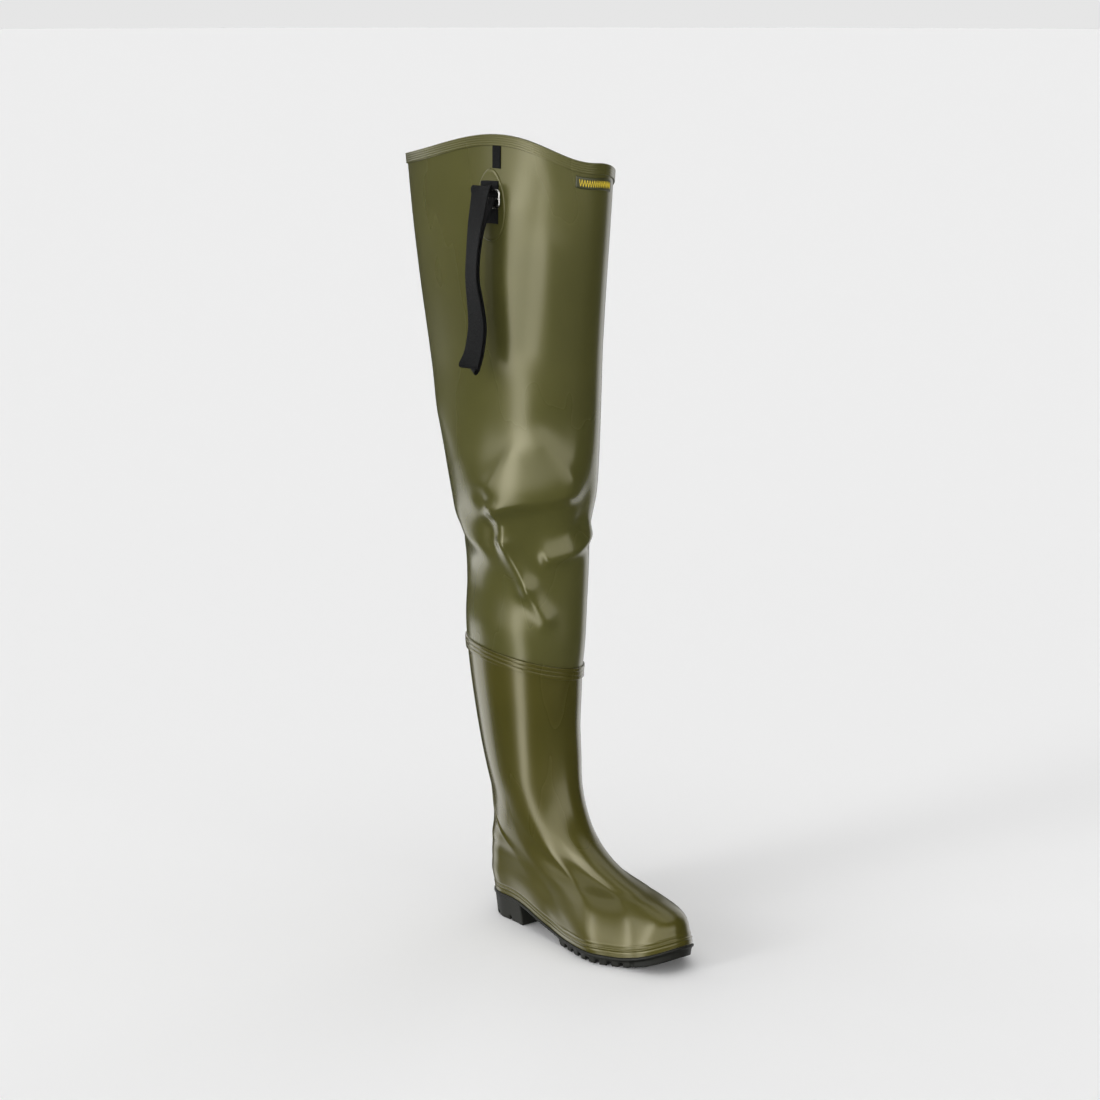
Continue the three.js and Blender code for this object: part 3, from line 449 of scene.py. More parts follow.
def olive_rubber(name, light, dark, gloss, wave_height, low_wear=0.0):
    """Glossy olive rubber: cloudy colour, faint scuffs, a skin that is never quite even."""
    s = Shader(name)
    where = s.coordinates()
    cloud = s.noise(where, 6, 3, 0.5)
    colour = s.ramp(cloud, [(0.3, dark), (0.7, light)])
    speck = s.range(s.noise(where, 420, 3, 0.6), 0.62, 0.78, 0, 0.25)
    colour = s.mix(speck, colour, tuple(c * 0.72 for c in dark))
    s.feed(Base_Color=colour)
    smear = s.noise(where, 9, 3, 0.5, (1, 1, 0.35))
    rough = s.range(smear, 0.3, 0.7, gloss, gloss + 0.1)
    if low_wear:
        height = s.node("SeparateXYZ")
        s.link(where, height.inputs["Vector"])
        rough = s.math("ADD", rough, s.range(height.outputs["Z"], 0.035, 0.12, low_wear, 0))
    s.feed(Roughness=rough)
    broad = s.bump(s.noise(where, 16, 0, 0.5), 1.0, wave_height)
    fine = s.bump(s.noise(where, 700, 3, 0.6), 0.3, 0.00003, broad)
    s.feed(Normal=fine)
    s.set(IOR=1.5, Specular_Tint=(1, 0.93, 0.66, 1), Coat_Weight=0.1, Coat_Roughness=0.12)
    return s.material


def sole_rubber():
    s = Shader("sole_rubber")
    where = s.coordinates()
    cloud = s.noise(where, 22, 5, 0.6)
    colour = s.ramp(cloud, [(0.3, srgb(20, 21, 17)), (0.75, srgb(38, 38, 32))])
    dust = s.range(s.noise(where, 240, 4, 0.7), 0.55, 0.8, 0, 0.22)
    colour = s.mix(dust, colour, srgb(70, 69, 56))
    s.feed(Base_Color=colour)
    s.feed(Roughness=s.range(cloud, 0.3, 0.7, 0.55, 0.72))
    grain = s.bump(s.noise(where, 900, 3, 0.7), 0.5, 0.0001)
    s.feed(Normal=s.bump(s.noise(where, 120, 4, 0.6), 0.4, 0.0003, grain))
    s.set(Specular_IOR_Level=0.3)
    return s.material


def lining_cloth():
    """Cream knitted lining: fine ribs with a fuzz of noise."""
    s = Shader("lining_cloth")
    uv = s.coordinates("UV")
    where = s.coordinates()
    ribs = s.wave(uv, 60, 0.6)
    cloud = s.noise(where, 11, 4, 0.6)
    colour = s.ramp(cloud, [(0.3, srgb(214, 208, 184)), (0.72, srgb(232, 228, 208))])
    shade = s.range(ribs, 0, 1, 0.18, 0)
    colour = s.mix(shade, colour, srgb(170, 163, 138))
    s.feed(Base_Color=colour)
    s.feed(Roughness=s.range(s.noise(where, 300, 3, 0.6), 0.3, 0.7, 0.82, 0.97))
    knit = s.bump(ribs, 0.5, 0.0004)
    s.feed(Normal=s.bump(s.noise(where, 1500, 3, 0.7), 0.6, 0.0002, knit))
    s.set(Sheen_Weight=0.25, Sheen_Roughness=0.5)
    return s.material


def webbing(name, scale):
    """Black woven webbing: rows of weft over warp ribs, with a slightly worn, dusty face."""
    s = Shader(name)
    uv = s.coordinates("UV")
    where = s.coordinates()
    warp = s.wave(uv, scale[0], 0.0, "X")
    weft = s.wave(uv, scale[1], 0.4, "Y")
    weave = s.math("MULTIPLY", warp, weft)
    fuzz = s.noise(where, 1200, 3, 0.7)
    height = s.math("ADD", weave, s.math("MULTIPLY", fuzz, 0.35))
    cloud = s.noise(where, 40, 4, 0.6)
    base = s.ramp(weave, [(0.0, srgb(2, 3, 4)), (1.0, srgb(9, 11, 12))])
    colour = s.mix(s.range(cloud, 0.45, 0.8, 0, 0.2), base, srgb(18, 21, 22))
    s.feed(Base_Color=colour)
    s.feed(Roughness=s.range(fuzz, 0.3, 0.7, 0.62, 0.85))
    s.feed(Normal=s.bump(height, 0.8, 0.0005))
    s.set(Specular_IOR_Level=0.25)
    return s.material


def nickel():
    s = Shader("nickel")
    where = s.coordinates()
    tarnish = s.noise(where, 160, 4, 0.6)
    s.feed(Base_Color=s.ramp(tarnish, [(0.3, srgb(178, 176, 170)), (0.7, srgb(214, 213, 208))]))
    s.feed(Roughness=s.range(tarnish, 0.3, 0.75, 0.16, 0.34))
    s.feed(Normal=s.bump(s.noise(where, 500, 3, 0.6), 0.25, 0.0001))
    s.set(Metallic=1.0)
    return s.material


def label_plate():
    s = Shader("label_plate")
    where = s.coordinates()
    cloud = s.noise(where, 90, 4, 0.6)
    s.feed(Base_Color=s.ramp(cloud, [(0.3, srgb(48, 50, 24)), (0.7, srgb(64, 64, 32))]))
    s.feed(Roughness=s.range(cloud, 0.3, 0.7, 0.34, 0.5))
    s.feed(Normal=s.bump(s.noise(where, 900, 3, 0.6), 0.4, 0.0001))
    return s.material


def yellow_thread():
    s = Shader("yellow_thread")
    where = s.coordinates()
    fibre = s.noise(where, 1400, 3, 0.6)
    s.feed(Base_Color=s.ramp(fibre, [(0.25, srgb(186, 158, 20)), (0.75, srgb(232, 208, 56))]))
    s.feed(Roughness=s.range(fibre, 0.3, 0.7, 0.45, 0.7))
    s.feed(Normal=s.bump(fibre, 0.5, 0.0002))
    return s.material


LEG_OLIVE = olive_rubber("leg_olive", srgb(76, 75, 37), srgb(66, 65, 31), 0.24, 0.0002)
FOOT_OLIVE = olive_rubber("foot_olive", srgb(70, 66, 24), srgb(60, 57, 18), 0.2, 0.0001, 0.06)
SOLE_BLACK = sole_rubber()
LINING = lining_cloth()
STRAP_CLOTH = webbing("strap_webbing", (22, 160))
TAB_CLOTH = webbing("tab_webbing", (9, 22))
NICKEL = nickel()
LABEL_PLATE = label_plate()
THREAD = yellow_thread()

TAU = 2 * math.pi


def ride(obj, node=None):
    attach(obj, "root")
    if node is not None:
        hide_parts(node)
    return obj


# Foot
def counter_height(points):
    """Height over the heel counter's upper edge in side view, positive above it."""
    edge = smooth_line(np.vstack([[1.0, -0.03], COUNTER_EDGE, [-0.1, 1.2]]), 120)
    line = np.stack([edge[:, 0] * COUNTER_REACH, HEEL_HEIGHT + edge[:, 1] * COUNTER_PEAK], -1)
    here = np.stack([points[..., 0] + HEEL_REST, points[..., 2]], -1).reshape(-1, 2)
    best = np.full(len(here), 1e9)
    sign = np.ones(len(here))
    for a, b in zip(line[:-1], line[1:]):
        run = b - a
        share = np.clip(((here - a) @ run) / (run @ run), 0, 1)
        off = here - a - share[:, None] * run
        distance = np.hypot(off[:, 0], off[:, 1])
        near = distance < best
        best = np.where(near, distance, best)
        sign = np.where(near, np.sign(run[1] * off[:, 0] - run[0] * off[:, 1] + 1e-12), sign)
    return (best * sign).reshape(points.shape[:-1])


def foot_relief(place, angle):
    """Foxing strip with its double line, and the heel counter, over the foot's plain skin."""
    plain = foot_point(place, angle)
    height = plain[..., 2] - feather_at(plain[..., 0])
    strip = FOXING_STEP * (1 - ease(FOXING_HEIGHT - 0.3, FOXING_HEIGHT + 1.4, height))
    strip = strip - 0.55 * np.exp(-((height - 0.72 * FOXING_HEIGHT) / 0.9) ** 2)
    bead = 0.35 * np.exp(-((height - 1.5 * FOXING_HEIGHT) / 1.0) ** 2)
    forward = ease(60, 150, plain[..., 0])
    over = counter_height(plain)
    back = 1 - ease(-5, 45, plain[..., 0])
    blur = lerp(9, 1.3, back)
    counter = COUNTER_STEP * ease(-1, 1, -over / blur) + 0.3 * back * np.exp(-((over + 2.2) / 1.6) ** 2)
    bulk = ease(1.2, 2.6, place) * (1 - ease(6.5, 10, place))
    bulk = bulk * np.exp(-((np.degrees(angle) - 192) / 42) ** 4)
    raised = np.where(height > FOXING_HEIGHT, counter, 0) * ease(0, 4, height - FOXING_HEIGHT)
    return strip + bead * forward + raised + FOOT_BULK * bulk


def hollow_wall(name, skin, relief, wall, outer, inner, angle, last, material):
    """A closed wall: rows up the outside, with its relief, and down the lined inside."""
    out = np.meshgrid(outer, angle, indexing="ij")
    back = np.meshgrid(inner, angle, indexing="ij")
    loops = np.concatenate([skin(*out, relief(*out)), skin(*back, np.full(back[0].shape, -wall))])
    rows = [0] * len(outer) + [1] * len(inner)
    v = np.concatenate([outer, inner]) / last
    return loops_object(name, loops, angle / TAU, v, [material, LINING], rows, closed=True)


def build_foot():
    def skin(place, angle, offset):
        return foot_skin(place, angle, offset, (place == 0) | (place == RING_PLACE))

    outer = np.concatenate([np.linspace(0, 1.2, 34), np.linspace(1.2, RING_PLACE, 172)[1:]])
    inner = np.linspace(RING_PLACE, 0, 60)
    angle = np.linspace(0, TAU, 288, endpoint=False)
    obj = hollow_wall("upper_skin", skin, foot_relief, BOOT_WALL, outer, inner, angle, RING_PLACE, FOOT_OLIVE)
    return ride(obj, "upper")


# Leg
SEAM_HALF = SEAM_WIDTH / (RING_FRONT - RING_BACK)


def seam_relief(place, column):
    """A raised strip over the long seam, between the band and the binding."""
    return SEAM_STEP * (1 - ease(0.93, 1.07, np.abs(column - SEAM_ANGLE) / SEAM_HALF))


def build_leg():
    def skin(place, angle, offset):
        points = leg_skin(place, angle, offset, place == 0)
        points[..., 2] += np.where(place == 0, GAP, 0)
        return points

    angle = np.linspace(0, TAU, 280, endpoint=False)
    angle = angle[np.abs(angle - SEAM_ANGLE) > 1.12 * SEAM_HALF]
    edge = SEAM_HALF * np.array([-1.12, -1.07, -1.0, -0.93, -0.88])
    angle = np.sort(np.concatenate([angle, SEAM_ANGLE + edge, SEAM_ANGLE - edge, [SEAM_ANGLE]]))
    top = COLLAR_PLACE - (BINDING_THICKNESS + GAP) / COLLAR_ROW
    outer = np.concatenate([np.linspace(0, 5.4, 170), np.linspace(5.4, top, 62)[1:]])
    inner = np.linspace(top, 0, 90)
    obj = hollow_wall("leg_skin", skin, seam_relief, SHAFT_WALL, outer, inner, angle, COLLAR_PLACE, LEG_OLIVE)
    return ride(obj, "shaft")


def lap_at(angle, start, full, fade, end):
    """Where a strip's end lies over its start: rises and fades between angles in degrees."""
    degrees = np.degrees(angle)
    return ease(start, full, degrees) * (1 - ease(fade, end, degrees))


def ribbed_section(height, grooves, depth, width, rounding, steps=7):
    """Profile of a strip's outer face: height over the strip, dent inwards."""
    h = np.linspace(0, height, steps * (grooves + 1) * 2 + 1)
    dent = np.zeros(len(h))
    for k in range(grooves):
        middle = (k + 1) * height / (grooves + 1)
        dent -= depth * np.exp(-((h - middle) / width) ** 4)
    dent -= rounding * (1 - quarter_round(np.minimum(h, height - h) / rounding))
    return h, dent


def joint_skin(height, angle, offset):
    last_row = (FOOT[-1, 2] - FOOT[-2, 2]) * BOOT_RISE
    if height > 0:
        return leg_skin(np.full(angle.shape, height / JOINT_ROW), angle, offset)
    place = np.full(angle.shape, RING_PLACE + height / last_row)
    return foot_skin(place, angle, offset + fold_at(np.zeros(angle.shape), angle), height == 0)


def build_band():
    angle = np.linspace(0, TAU, 300, endpoint=False)
    h, dent = ribbed_section(BAND_HEIGHT, 2, 0.75, 0.62, 0.7)
    half, face = BAND_HEIGHT / 2, GAP + BAND_THICKNESS
    lap = lap_at(angle, 291, 291.6, 306, 320)
    loops = [joint_skin(height - half, angle, face + d + 0.7 * lap) for height, d in zip(h, dent)]
    loops += [joint_skin(height, angle, np.full(angle.shape, 0.05)) for height in (half, 0, -half)]
    loops = np.array(loops)
    v = np.linspace(0, 0.2, len(loops))
    obj = loops_object("band_strip", loops, angle / TAU, v, [FOOT_OLIVE], closed=True)
    return ride(obj, "joint_band")


def build_binding():
    angle = np.linspace(0, TAU, 320, endpoint=False)
    h, dent = ribbed_section(BINDING_HEIGHT, 4, 0.22, 0.35, 0.5, 5)
    face, back = GAP + BINDING_THICKNESS, -SHAFT_WALL - GAP
    collar = np.full(angle.shape, COLLAR_PLACE)
    down = leg_point(collar - 0.2, angle) - leg_point(collar, angle)
    down /= np.linalg.norm(down, axis=-1, keepdims=True)
    lap = lap_at(angle, 196, 196.5, 204, 214)
    section = [(BINDING_HEIGHT - height, face + d, 0.4) for height, d in zip(h, dent)][:-3]
    middle = (face + back - BINDING_THICKNESS) / 2
    radius = (face - back + BINDING_THICKNESS) / 2
    for turn in np.linspace(0.15, math.pi - 0.15, 12):
        section.append((1 - math.sin(turn), middle + radius * math.cos(turn), 0.2))
    inner = back - BINDING_THICKNESS
    for drop in np.linspace(1.4, BINDING_HEIGHT - 0.5, 8):
        section.append((drop, inner, 0))
    section += [(BINDING_HEIGHT, inner + 0.5, 0), (BINDING_HEIGHT, -SHAFT_WALL - 0.05, 0),
                (2, -SHAFT_WALL + 0.1, 0), (2, -0.1, 0), (BINDING_HEIGHT, 0.05, 0)]
    loops = np.array([leg_skin(collar, angle, offset + lap * raised) + down * drop
                      for drop, offset, raised in section])
    v = np.linspace(0, 0.2, len(loops))
    obj = turn_out(loops_object("binding_strip", loops, angle / TAU, v, [LEG_OLIVE], closed=True))
    return ride(obj, "collar_binding")


# Sole
def sole_outline(offset, height, angle):
    loop = foot_skin(np.zeros(angle.shape), angle, np.full(angle.shape, offset), True)
    loop[:, 2] = height
    return loop


def capped(name, loops):
    loops = np.array(loops)
    obj = loops_object(name, loops, np.linspace(0, 1, loops.shape[1]), np.arange(len(loops)), [], caps=True)
    return turn_out(obj)


def side_prism(name, outline, width):
    """A side view outline in X and Z, as a prism across the foot."""
    outline = np.array(outline)
    near = np.insert(outline, 1, -width / 2, axis=1)
    far = np.insert(outline, 1, width / 2, axis=1)
    return capped(name, [near, far])


def sole_profile(drop):
    ends = (-HEEL_REST - 2 * HEEL_INSET, SOLE_LENGTH - HEEL_REST + 2 * HEEL_INSET)
    x = np.linspace(ends[1], ends[0], 90)
    top = [(a, feather_at(a) - GAP) for a in x]
    if drop:
        return top + [(a, feather_at(a) - GAP - drop) for a in x[::-1]]
    breast, forefoot = HEEL_BREAST - HEEL_REST, FOREFOOT_START - HEEL_REST
    arch = [[a, feather_at(a) - GAP - ARCH_THICKNESS] for a in np.linspace(breast, forefoot, 24)]
    arch[0][0] -= LUG_GROOVE / 2
    arch[-1][0] -= LUG_GROOVE / 2
    tread = [(a, spring_at(a)) for a in np.linspace(SPRING_START - HEEL_REST, ends[1], 24)]
    return top + [(ends[0], 0), (breast, 0)] + [tuple(a) for a in arch] + [(forefoot, 0)] + tread


# Edge of the cells that round the sole's edges, in metres
SOLE_VOXEL = 0.0011


def boolean(target, cutter, operation):
    modifier = target.modifiers.new("cut", "BOOLEAN")
    modifier.object = cutter
    modifier.operation = operation
    modifier.solver = "EXACT"
    bake(target)
    bpy.data.objects.remove(cutter)
    return target


def bake(obj):
    """Applies the object's modifiers."""
    graph = bpy.context.evaluated_depsgraph_get()
    graph.update()
    mesh = bpy.data.meshes.new_from_object(obj.evaluated_get(graph))
    obj.modifiers.clear()
    old = obj.data
    obj.data = mesh
    bpy.data.meshes.remove(old)
    return obj


def groove_boxes():
    """All groove prisms of the tread as one mesh of separate boxes."""
    bm = bmesh.new()

    def add(x, side, length, width, lean):
        box = bmesh.ops.create_cube(bm, size=1)["verts"]
        turn = math.radians(lean)
        for vertex in box:
            a, b = vertex.co.x * width, vertex.co.y * length * BALL_WIDTH
            vertex.co.z = vertex.co.z * 2 * LUG_DEPTH + float(spring_at(x))
            vertex.co.x = a * math.cos(turn) - b * math.sin(turn) + x
            vertex.co.y = a * math.sin(turn) + b * math.cos(turn) + side * BALL_WIDTH

    for side, length, width, lean, start, end in (
            (-0.46, 0.36, 1, 12, 1, 0.965), (0.5, 0.36, 1, -12, 1, 0.965), (0.03, 0.42, 0.8, 0, 1.5, 0.9)):
        along = FOREFOOT_START + start * LUG_PITCH
        while along < end * SOLE_LENGTH:
            add(along - HEEL_REST, side, length, width * LUG_GROOVE, lean)
            along += LUG_PITCH
    for side in (-0.36, 0.34):
        for x in (-HEEL_PITCH / 2, HEEL_PITCH / 2):
            add(x, side, 0.3, HEEL_GROOVE, 0)
    bmesh.ops.scale(bm, vec=(MM, MM, MM), verts=bm.verts)
    mesh = bpy.data.meshes.new("grooves")
    bm.to_mesh(mesh)
    bm.free()
    obj = bpy.data.objects.new("grooves", mesh)
    bpy.context.scene.collection.objects.link(obj)
    return obj


def build_sole():
    angle = np.linspace(0, TAU, 240, endpoint=False)
    body = capped("outsole_body", [
        sole_outline(FOXING_STEP - HEEL_INSET, -GAP, angle),
        sole_outline(FOXING_STEP, HEEL_HEIGHT - SOLE_RIM, angle),
        sole_outline(FOXING_STEP, 2 * HEEL_HEIGHT, angle)])
    rim = capped("rim", [sole_outline(FOXING_STEP + RIM_LIP, z, angle) for z in (-GAP, 2 * HEEL_HEIGHT)])
    boolean(body, side_prism("profile", sole_profile(0), 2.4 * BALL_WIDTH), "INTERSECT")
    boolean(rim, side_prism("rim_profile", sole_profile(SOLE_RIM), 2.4 * BALL_WIDTH), "INTERSECT")
    boolean(body, rim, "UNION")
    boolean(body, groove_boxes(), "DIFFERENCE")
    remesh = body.modifiers.new("remesh", "REMESH")
    remesh.mode = "VOXEL"
    remesh.voxel_size = SOLE_VOXEL
    soft = body.modifiers.new("soft", "SMOOTH")
    soft.factor = 0.5
    soft.iterations = 3
    bake(body)
    body.data.materials.clear()
    body.data.materials.append(SOLE_BLACK)
    body.data.polygons.foreach_set("use_smooth", [True] * len(body.data.polygons))
    return ride(body, "outsole")


# Strap and its fittings
FITTING_ANGLE, TAB_ANGLE, LABEL_ANGLE = math.radians(112), math.radians(115.5), math.radians(188)
PEAK_ROW = COLLAR_ROW * (1 + 2 * COLLAR_PEAK / SHAFT_RISE)
TAB_DROP = BINDING_HEIGHT + GAP
PATCH_DROP = TAB_DROP + TAB_HEIGHT + GAP
PEAR = 0.16
ANCHOR_DROP = PATCH_DROP + PEAR * PATCH_HEIGHT


def radius_at(angle):
    a = leg_point(np.array(COLLAR_PLACE), np.array(angle + 0.01))
    b = leg_point(np.array(COLLAR_PLACE), np.array(angle - 0.01))
    return np.linalg.norm(a - b) / 0.02


def plate(name, angle, drop, width, height, base, thickness, material, edge, rows=24, cols=24):
    """A rectangular piece lying on the leg, with rounded edges that reach down to what is under it."""
    half = width / 2 / radius_at(angle)
    a = np.concatenate([[-1], np.linspace(-1 + edge / width, 1 - edge / width, cols), [1]])
    b = np.concatenate([[0], np.linspace(0.5 * edge / height, 1 - 0.5 * edge / height, rows), [1]])
    grid_b, grid_a = np.meshgrid(b, a, indexing="ij")
    place = COLLAR_PLACE - (drop + height * (1 - grid_b)) / PEAK_ROW
    inside = np.minimum(np.minimum(grid_a + 1, 1 - grid_a) * width / 2,
                        np.minimum(grid_b, 1 - grid_b) * height)
    lift = thickness * quarter_round(inside / edge)
    outer = leg_skin(place, angle + grid_a * half, base + lift)
    inner = leg_skin(place, angle + grid_a * half, np.full(place.shape, base - 0.25))
    rows, cols = place.shape
    points = np.concatenate([outer.reshape(-1, 3), inner.reshape(-1, 3)])
    total = rows * cols
    quads = grid_faces(rows, cols, wrap=False)
    rim = [*range(cols), *(r * cols + cols - 1 for r in range(1, rows)),
           *((rows - 1) * cols + c for c in range(cols - 2, -1, -1)),
           *(r * cols for r in range(rows - 2, 0, -1))]
    faces = quads + [tuple(total + k for k in reversed(q)) for q in quads]
    faces += [(p + total, q + total, q, p) for p, q in zip(rim, rim[1:] + rim[:1])]
    flat_u, flat_v = (grid_a.ravel() + 1) / 2, grid_b.ravel()
    uvs = [(flat_u[k % total], flat_v[k % total]) for f in faces for k in f]
    return make_object(name, points, faces, uvs, [material])


def build_patch():
    """Pear-shaped rubber patch: a flat face with a rounded rim, laid on the leg."""
    top_place = COLLAR_PLACE - PATCH_DROP / PEAK_ROW
    cols = 96
    turn = np.linspace(0, TAU, cols, endpoint=False)
    radii = np.array([0.0, 0.25, 0.5, 0.75, 0.9, 0.94, 0.96, 0.975, 0.99, 1.0])
    along = 0.5 * PATCH_WIDTH * (1 - PEAR * np.cos(turn)) * np.sin(turn)
    down = 0.5 * PATCH_HEIGHT * (1 - np.cos(turn))
    radius = radius_at(FITTING_ANGLE)
    loops = []
    for share in radii:
        x = along * share
        z = 0.5 * PATCH_HEIGHT + (down - 0.5 * PATCH_HEIGHT) * share
        edge = (1 - share) * 0.5 * PATCH_WIDTH
        lift = GAP + PATCH_THICKNESS * quarter_round(edge) + 0.25 * math.exp(-((share - 0.93) / 0.03) ** 2)
        loops.append(leg_skin(top_place - z / PEAK_ROW, FITTING_ANGLE + x / radius, np.full(cols, lift)))
    loops.append(leg_skin(top_place - down / PEAK_ROW, FITTING_ANGLE + along / radius, np.full(cols, -0.1)))
    v = np.linspace(0, 0.2, len(loops))
    obj = loops_object("patch_skin", np.array(loops)[::-1], turn / TAU, v, [LEG_OLIVE])
    return ride(turn_out(obj), "strap_patch")


SEAT_PLACE = COLLAR_PLACE - (ANCHOR_DROP + ANCHOR_HEIGHT / 2) / PEAK_ROW
SEAT = leg_skin(SEAT_PLACE, FITTING_ANGLE, np.array(0.0))
OUT = normal_at(leg_point, np.array(SEAT_PLACE), np.array(FITTING_ANGLE), True)
UP = np.array([0.0, 0, 1])
FORWARD = np.cross(UP, OUT)
ON_PATCH = 2 * GAP + PATCH_THICKNESS
BUCKLE_LIFT = 0.1 * ANCHOR_HEIGHT
BUCKLE_OUT = ON_PATCH + ANCHOR_THICKNESS + GAP + BUCKLE_WIRE / 2
ON_BUCKLE = BUCKLE_OUT + BUCKLE_WIRE / 2 + GAP + STRAP_THICKNESS / 2
STRAP_START = 0.035
TOP_BAR = STRAP_START - (BUCKLE_LIFT + BUCKLE_HEIGHT / 2) / STRAP_LENGTH
MIDDLE_BAR = STRAP_START - BUCKLE_LIFT / STRAP_LENGTH
# The strap's route down one strand and up the other: out as a share of STRAP_OUT, drop of STRAP_LENGTH,
# side of STRAP_WIDTH, and turn in degrees
STRAP_ROUTE = np.array([
    [ON_BUCKLE / STRAP_OUT, MIDDLE_BAR, 0, 0],
    [0.54, 0.07, 0.04, -8],
    [0.76, 0.16, -0.06, -14],
    [0.92, 0.3, -0.13, -20],
    [0.9, 0.45, -0.21, -20],
    [0.78, 0.6, -0.14, -12],
    [0.72, 0.72, -0.1, -7],
    [0.88, 0.85, -0.14, -3],
    [1.02, 0.92, -0.24, 3],
    [1.08, 0.945, -0.34, 3],
    [1.16, 0.92, -0.26, 3],
    [1.06, 0.85, -0.14, -3],
    [0.9, 0.72, -0.1, -7],
    [0.96, 0.6, -0.14, -12],
    [1.08, 0.45, -0.21, -20],
    [1.1, 0.3, -0.13, -20],
    [1.02, 0.16, -0.04, -14],
    [0.96, 0.06, 0.08, -8],
    [0.82, -0.02, 0.1, -4],
    [0.58, -0.055, 0, 0],
    [ON_BUCKLE / STRAP_OUT, TOP_BAR, 0, 0],
])


def from_seat(side, outward, height):
    side, outward, height = (np.asarray(v, float)[..., None] for v in (side, outward, height))
    return SEAT + FORWARD * side + OUT * outward + UP * height


# Length of strap over which its second texture coordinate goes from 0 to 1
WEAVE_LENGTH = 400


def build_strap():
    route = smooth_line(STRAP_ROUTE, 260)
    centres = from_seat(route[:, 2] * STRAP_WIDTH, route[:, 0] * STRAP_OUT,
                        (STRAP_START - route[:, 1]) * STRAP_LENGTH)
    along = np.gradient(centres, axis=0)
    along /= np.linalg.norm(along, axis=1, keepdims=True)
    turn = np.radians(route[:, 3])
    across = np.stack([FORWARD[0] * np.cos(turn) - FORWARD[1] * np.sin(turn),
                       FORWARD[0] * np.sin(turn) + FORWARD[1] * np.cos(turn), 0 * turn], -1)
    face = np.cross(along, across)
    face /= np.linalg.norm(face, axis=1, keepdims=True)
    across = np.cross(face, along)
    half, thick = STRAP_WIDTH / 2, STRAP_THICKNESS / 2
    a = np.linspace(-half + 0.6, half - 0.6, 16)
    section = [(x, -thick) for x in a] + [(half - 0.15, -0.7 * thick), (half, 0), (half - 0.15, 0.7 * thick)]
    section += [(x, thick) for x in a[::-1]]
    section += [(-half + 0.15, 0.7 * thick), (-half, 0), (-half + 0.15, -0.7 * thick)]
    section = np.array(section)
    length = np.concatenate([[0], np.cumsum(np.linalg.norm(np.diff(centres, axis=0), axis=1))])
    loops = centres[:, None] + across[:, None] * section[None, :, :1] + face[:, None] * section[None, :, 1:]
    u = (section[:, 0] + half) / STRAP_WIDTH
    v = length / WEAVE_LENGTH
    rows, cols = loops.shape[:2]
    uvs = [(u[(c + a) % cols], v[r + b]) for r in range(rows - 1) for c in range(cols)
           for a, b in ((0, 0), (1, 0), (1, 1), (0, 1))]
    uvs += [(u[k], 0) for k in [*range(cols)][::-1] + [*range(cols)]]
    faces = grid_faces(rows, cols, caps=True)
    obj = make_object("strap_webbing", loops.reshape(-1, 3), faces, uvs, [STRAP_CLOTH])
    return ride(turn_out(obj), "belt_strap")


def tube_loops(points, radius, out, sides, closed=False):
    """Rings of a round wire along a line of points that lies square to out."""
    along = np.roll(points, -1, 0) - np.roll(points, 1, 0) if closed else np.gradient(points, axis=0)
    along /= np.linalg.norm(along, axis=1, keepdims=True)
    across = np.cross(along, out)
    across /= np.linalg.norm(across, axis=1, keepdims=True)
    other = np.cross(along, across)
    turn = np.linspace(0, TAU, sides, endpoint=False)[None, :, None]
    radius = np.broadcast_to(radius, len(points))[:, None, None]
    return points[:, None] + radius * (across[:, None] * np.cos(turn) + other[:, None] * np.sin(turn))


def build_buckle():
    """A wire slide: a rectangle with rounded corners and a middle bar."""
    corner = 3.0
    w, h = BUCKLE_WIDTH / 2, BUCKLE_HEIGHT / 2
    outline = []
    for quarter, (x, z) in enumerate(((1, 1), (-1, 1), (-1, -1), (1, -1))):
        for turn in np.radians(np.linspace(90 * quarter, 90 * quarter + 90, 9)):
            outline.append((x * (w - corner) + corner * math.cos(turn),
                            z * (h - corner) + corner * math.sin(turn)))
    dense = []
    for p, q in zip(outline, outline[1:] + outline[:1]):
        steps = max(1, int(math.dist(p, q) / 2))
        dense += [(p[0] + (q[0] - p[0]) * k / steps, p[1] + (q[1] - p[1]) * k / steps) for k in range(steps)]
    dense = np.array(dense)
    ring = from_seat(dense[:, 0], np.full(len(dense), BUCKLE_OUT), BUCKLE_LIFT + dense[:, 1])
    loops = tube_loops(ring, BUCKLE_WIRE / 2, OUT, 14, closed=True)
    u = np.linspace(0, 1, 14)
    wire = loops_object("buckle_wire", loops, u, np.linspace(0, 1, len(loops)), [NICKEL], closed=True)
    x = np.linspace(-w, w, 16)
    bar = from_seat(x, np.full(16, BUCKLE_OUT), np.full(16, BUCKLE_LIFT))
    loops = tube_loops(bar, BUCKLE_WIRE / 2, OUT, 14)
    middle = loops_object("buckle_bar", loops, u, np.linspace(0, 1, 16), [NICKEL], caps=True)
    ride(turn_out(middle), None)
    return ride(turn_out(wire), "buckle")


STITCHES, STITCH_POINTS, STITCH_SIDES, THREAD_RADIUS = 15, 9, 8, 0.34


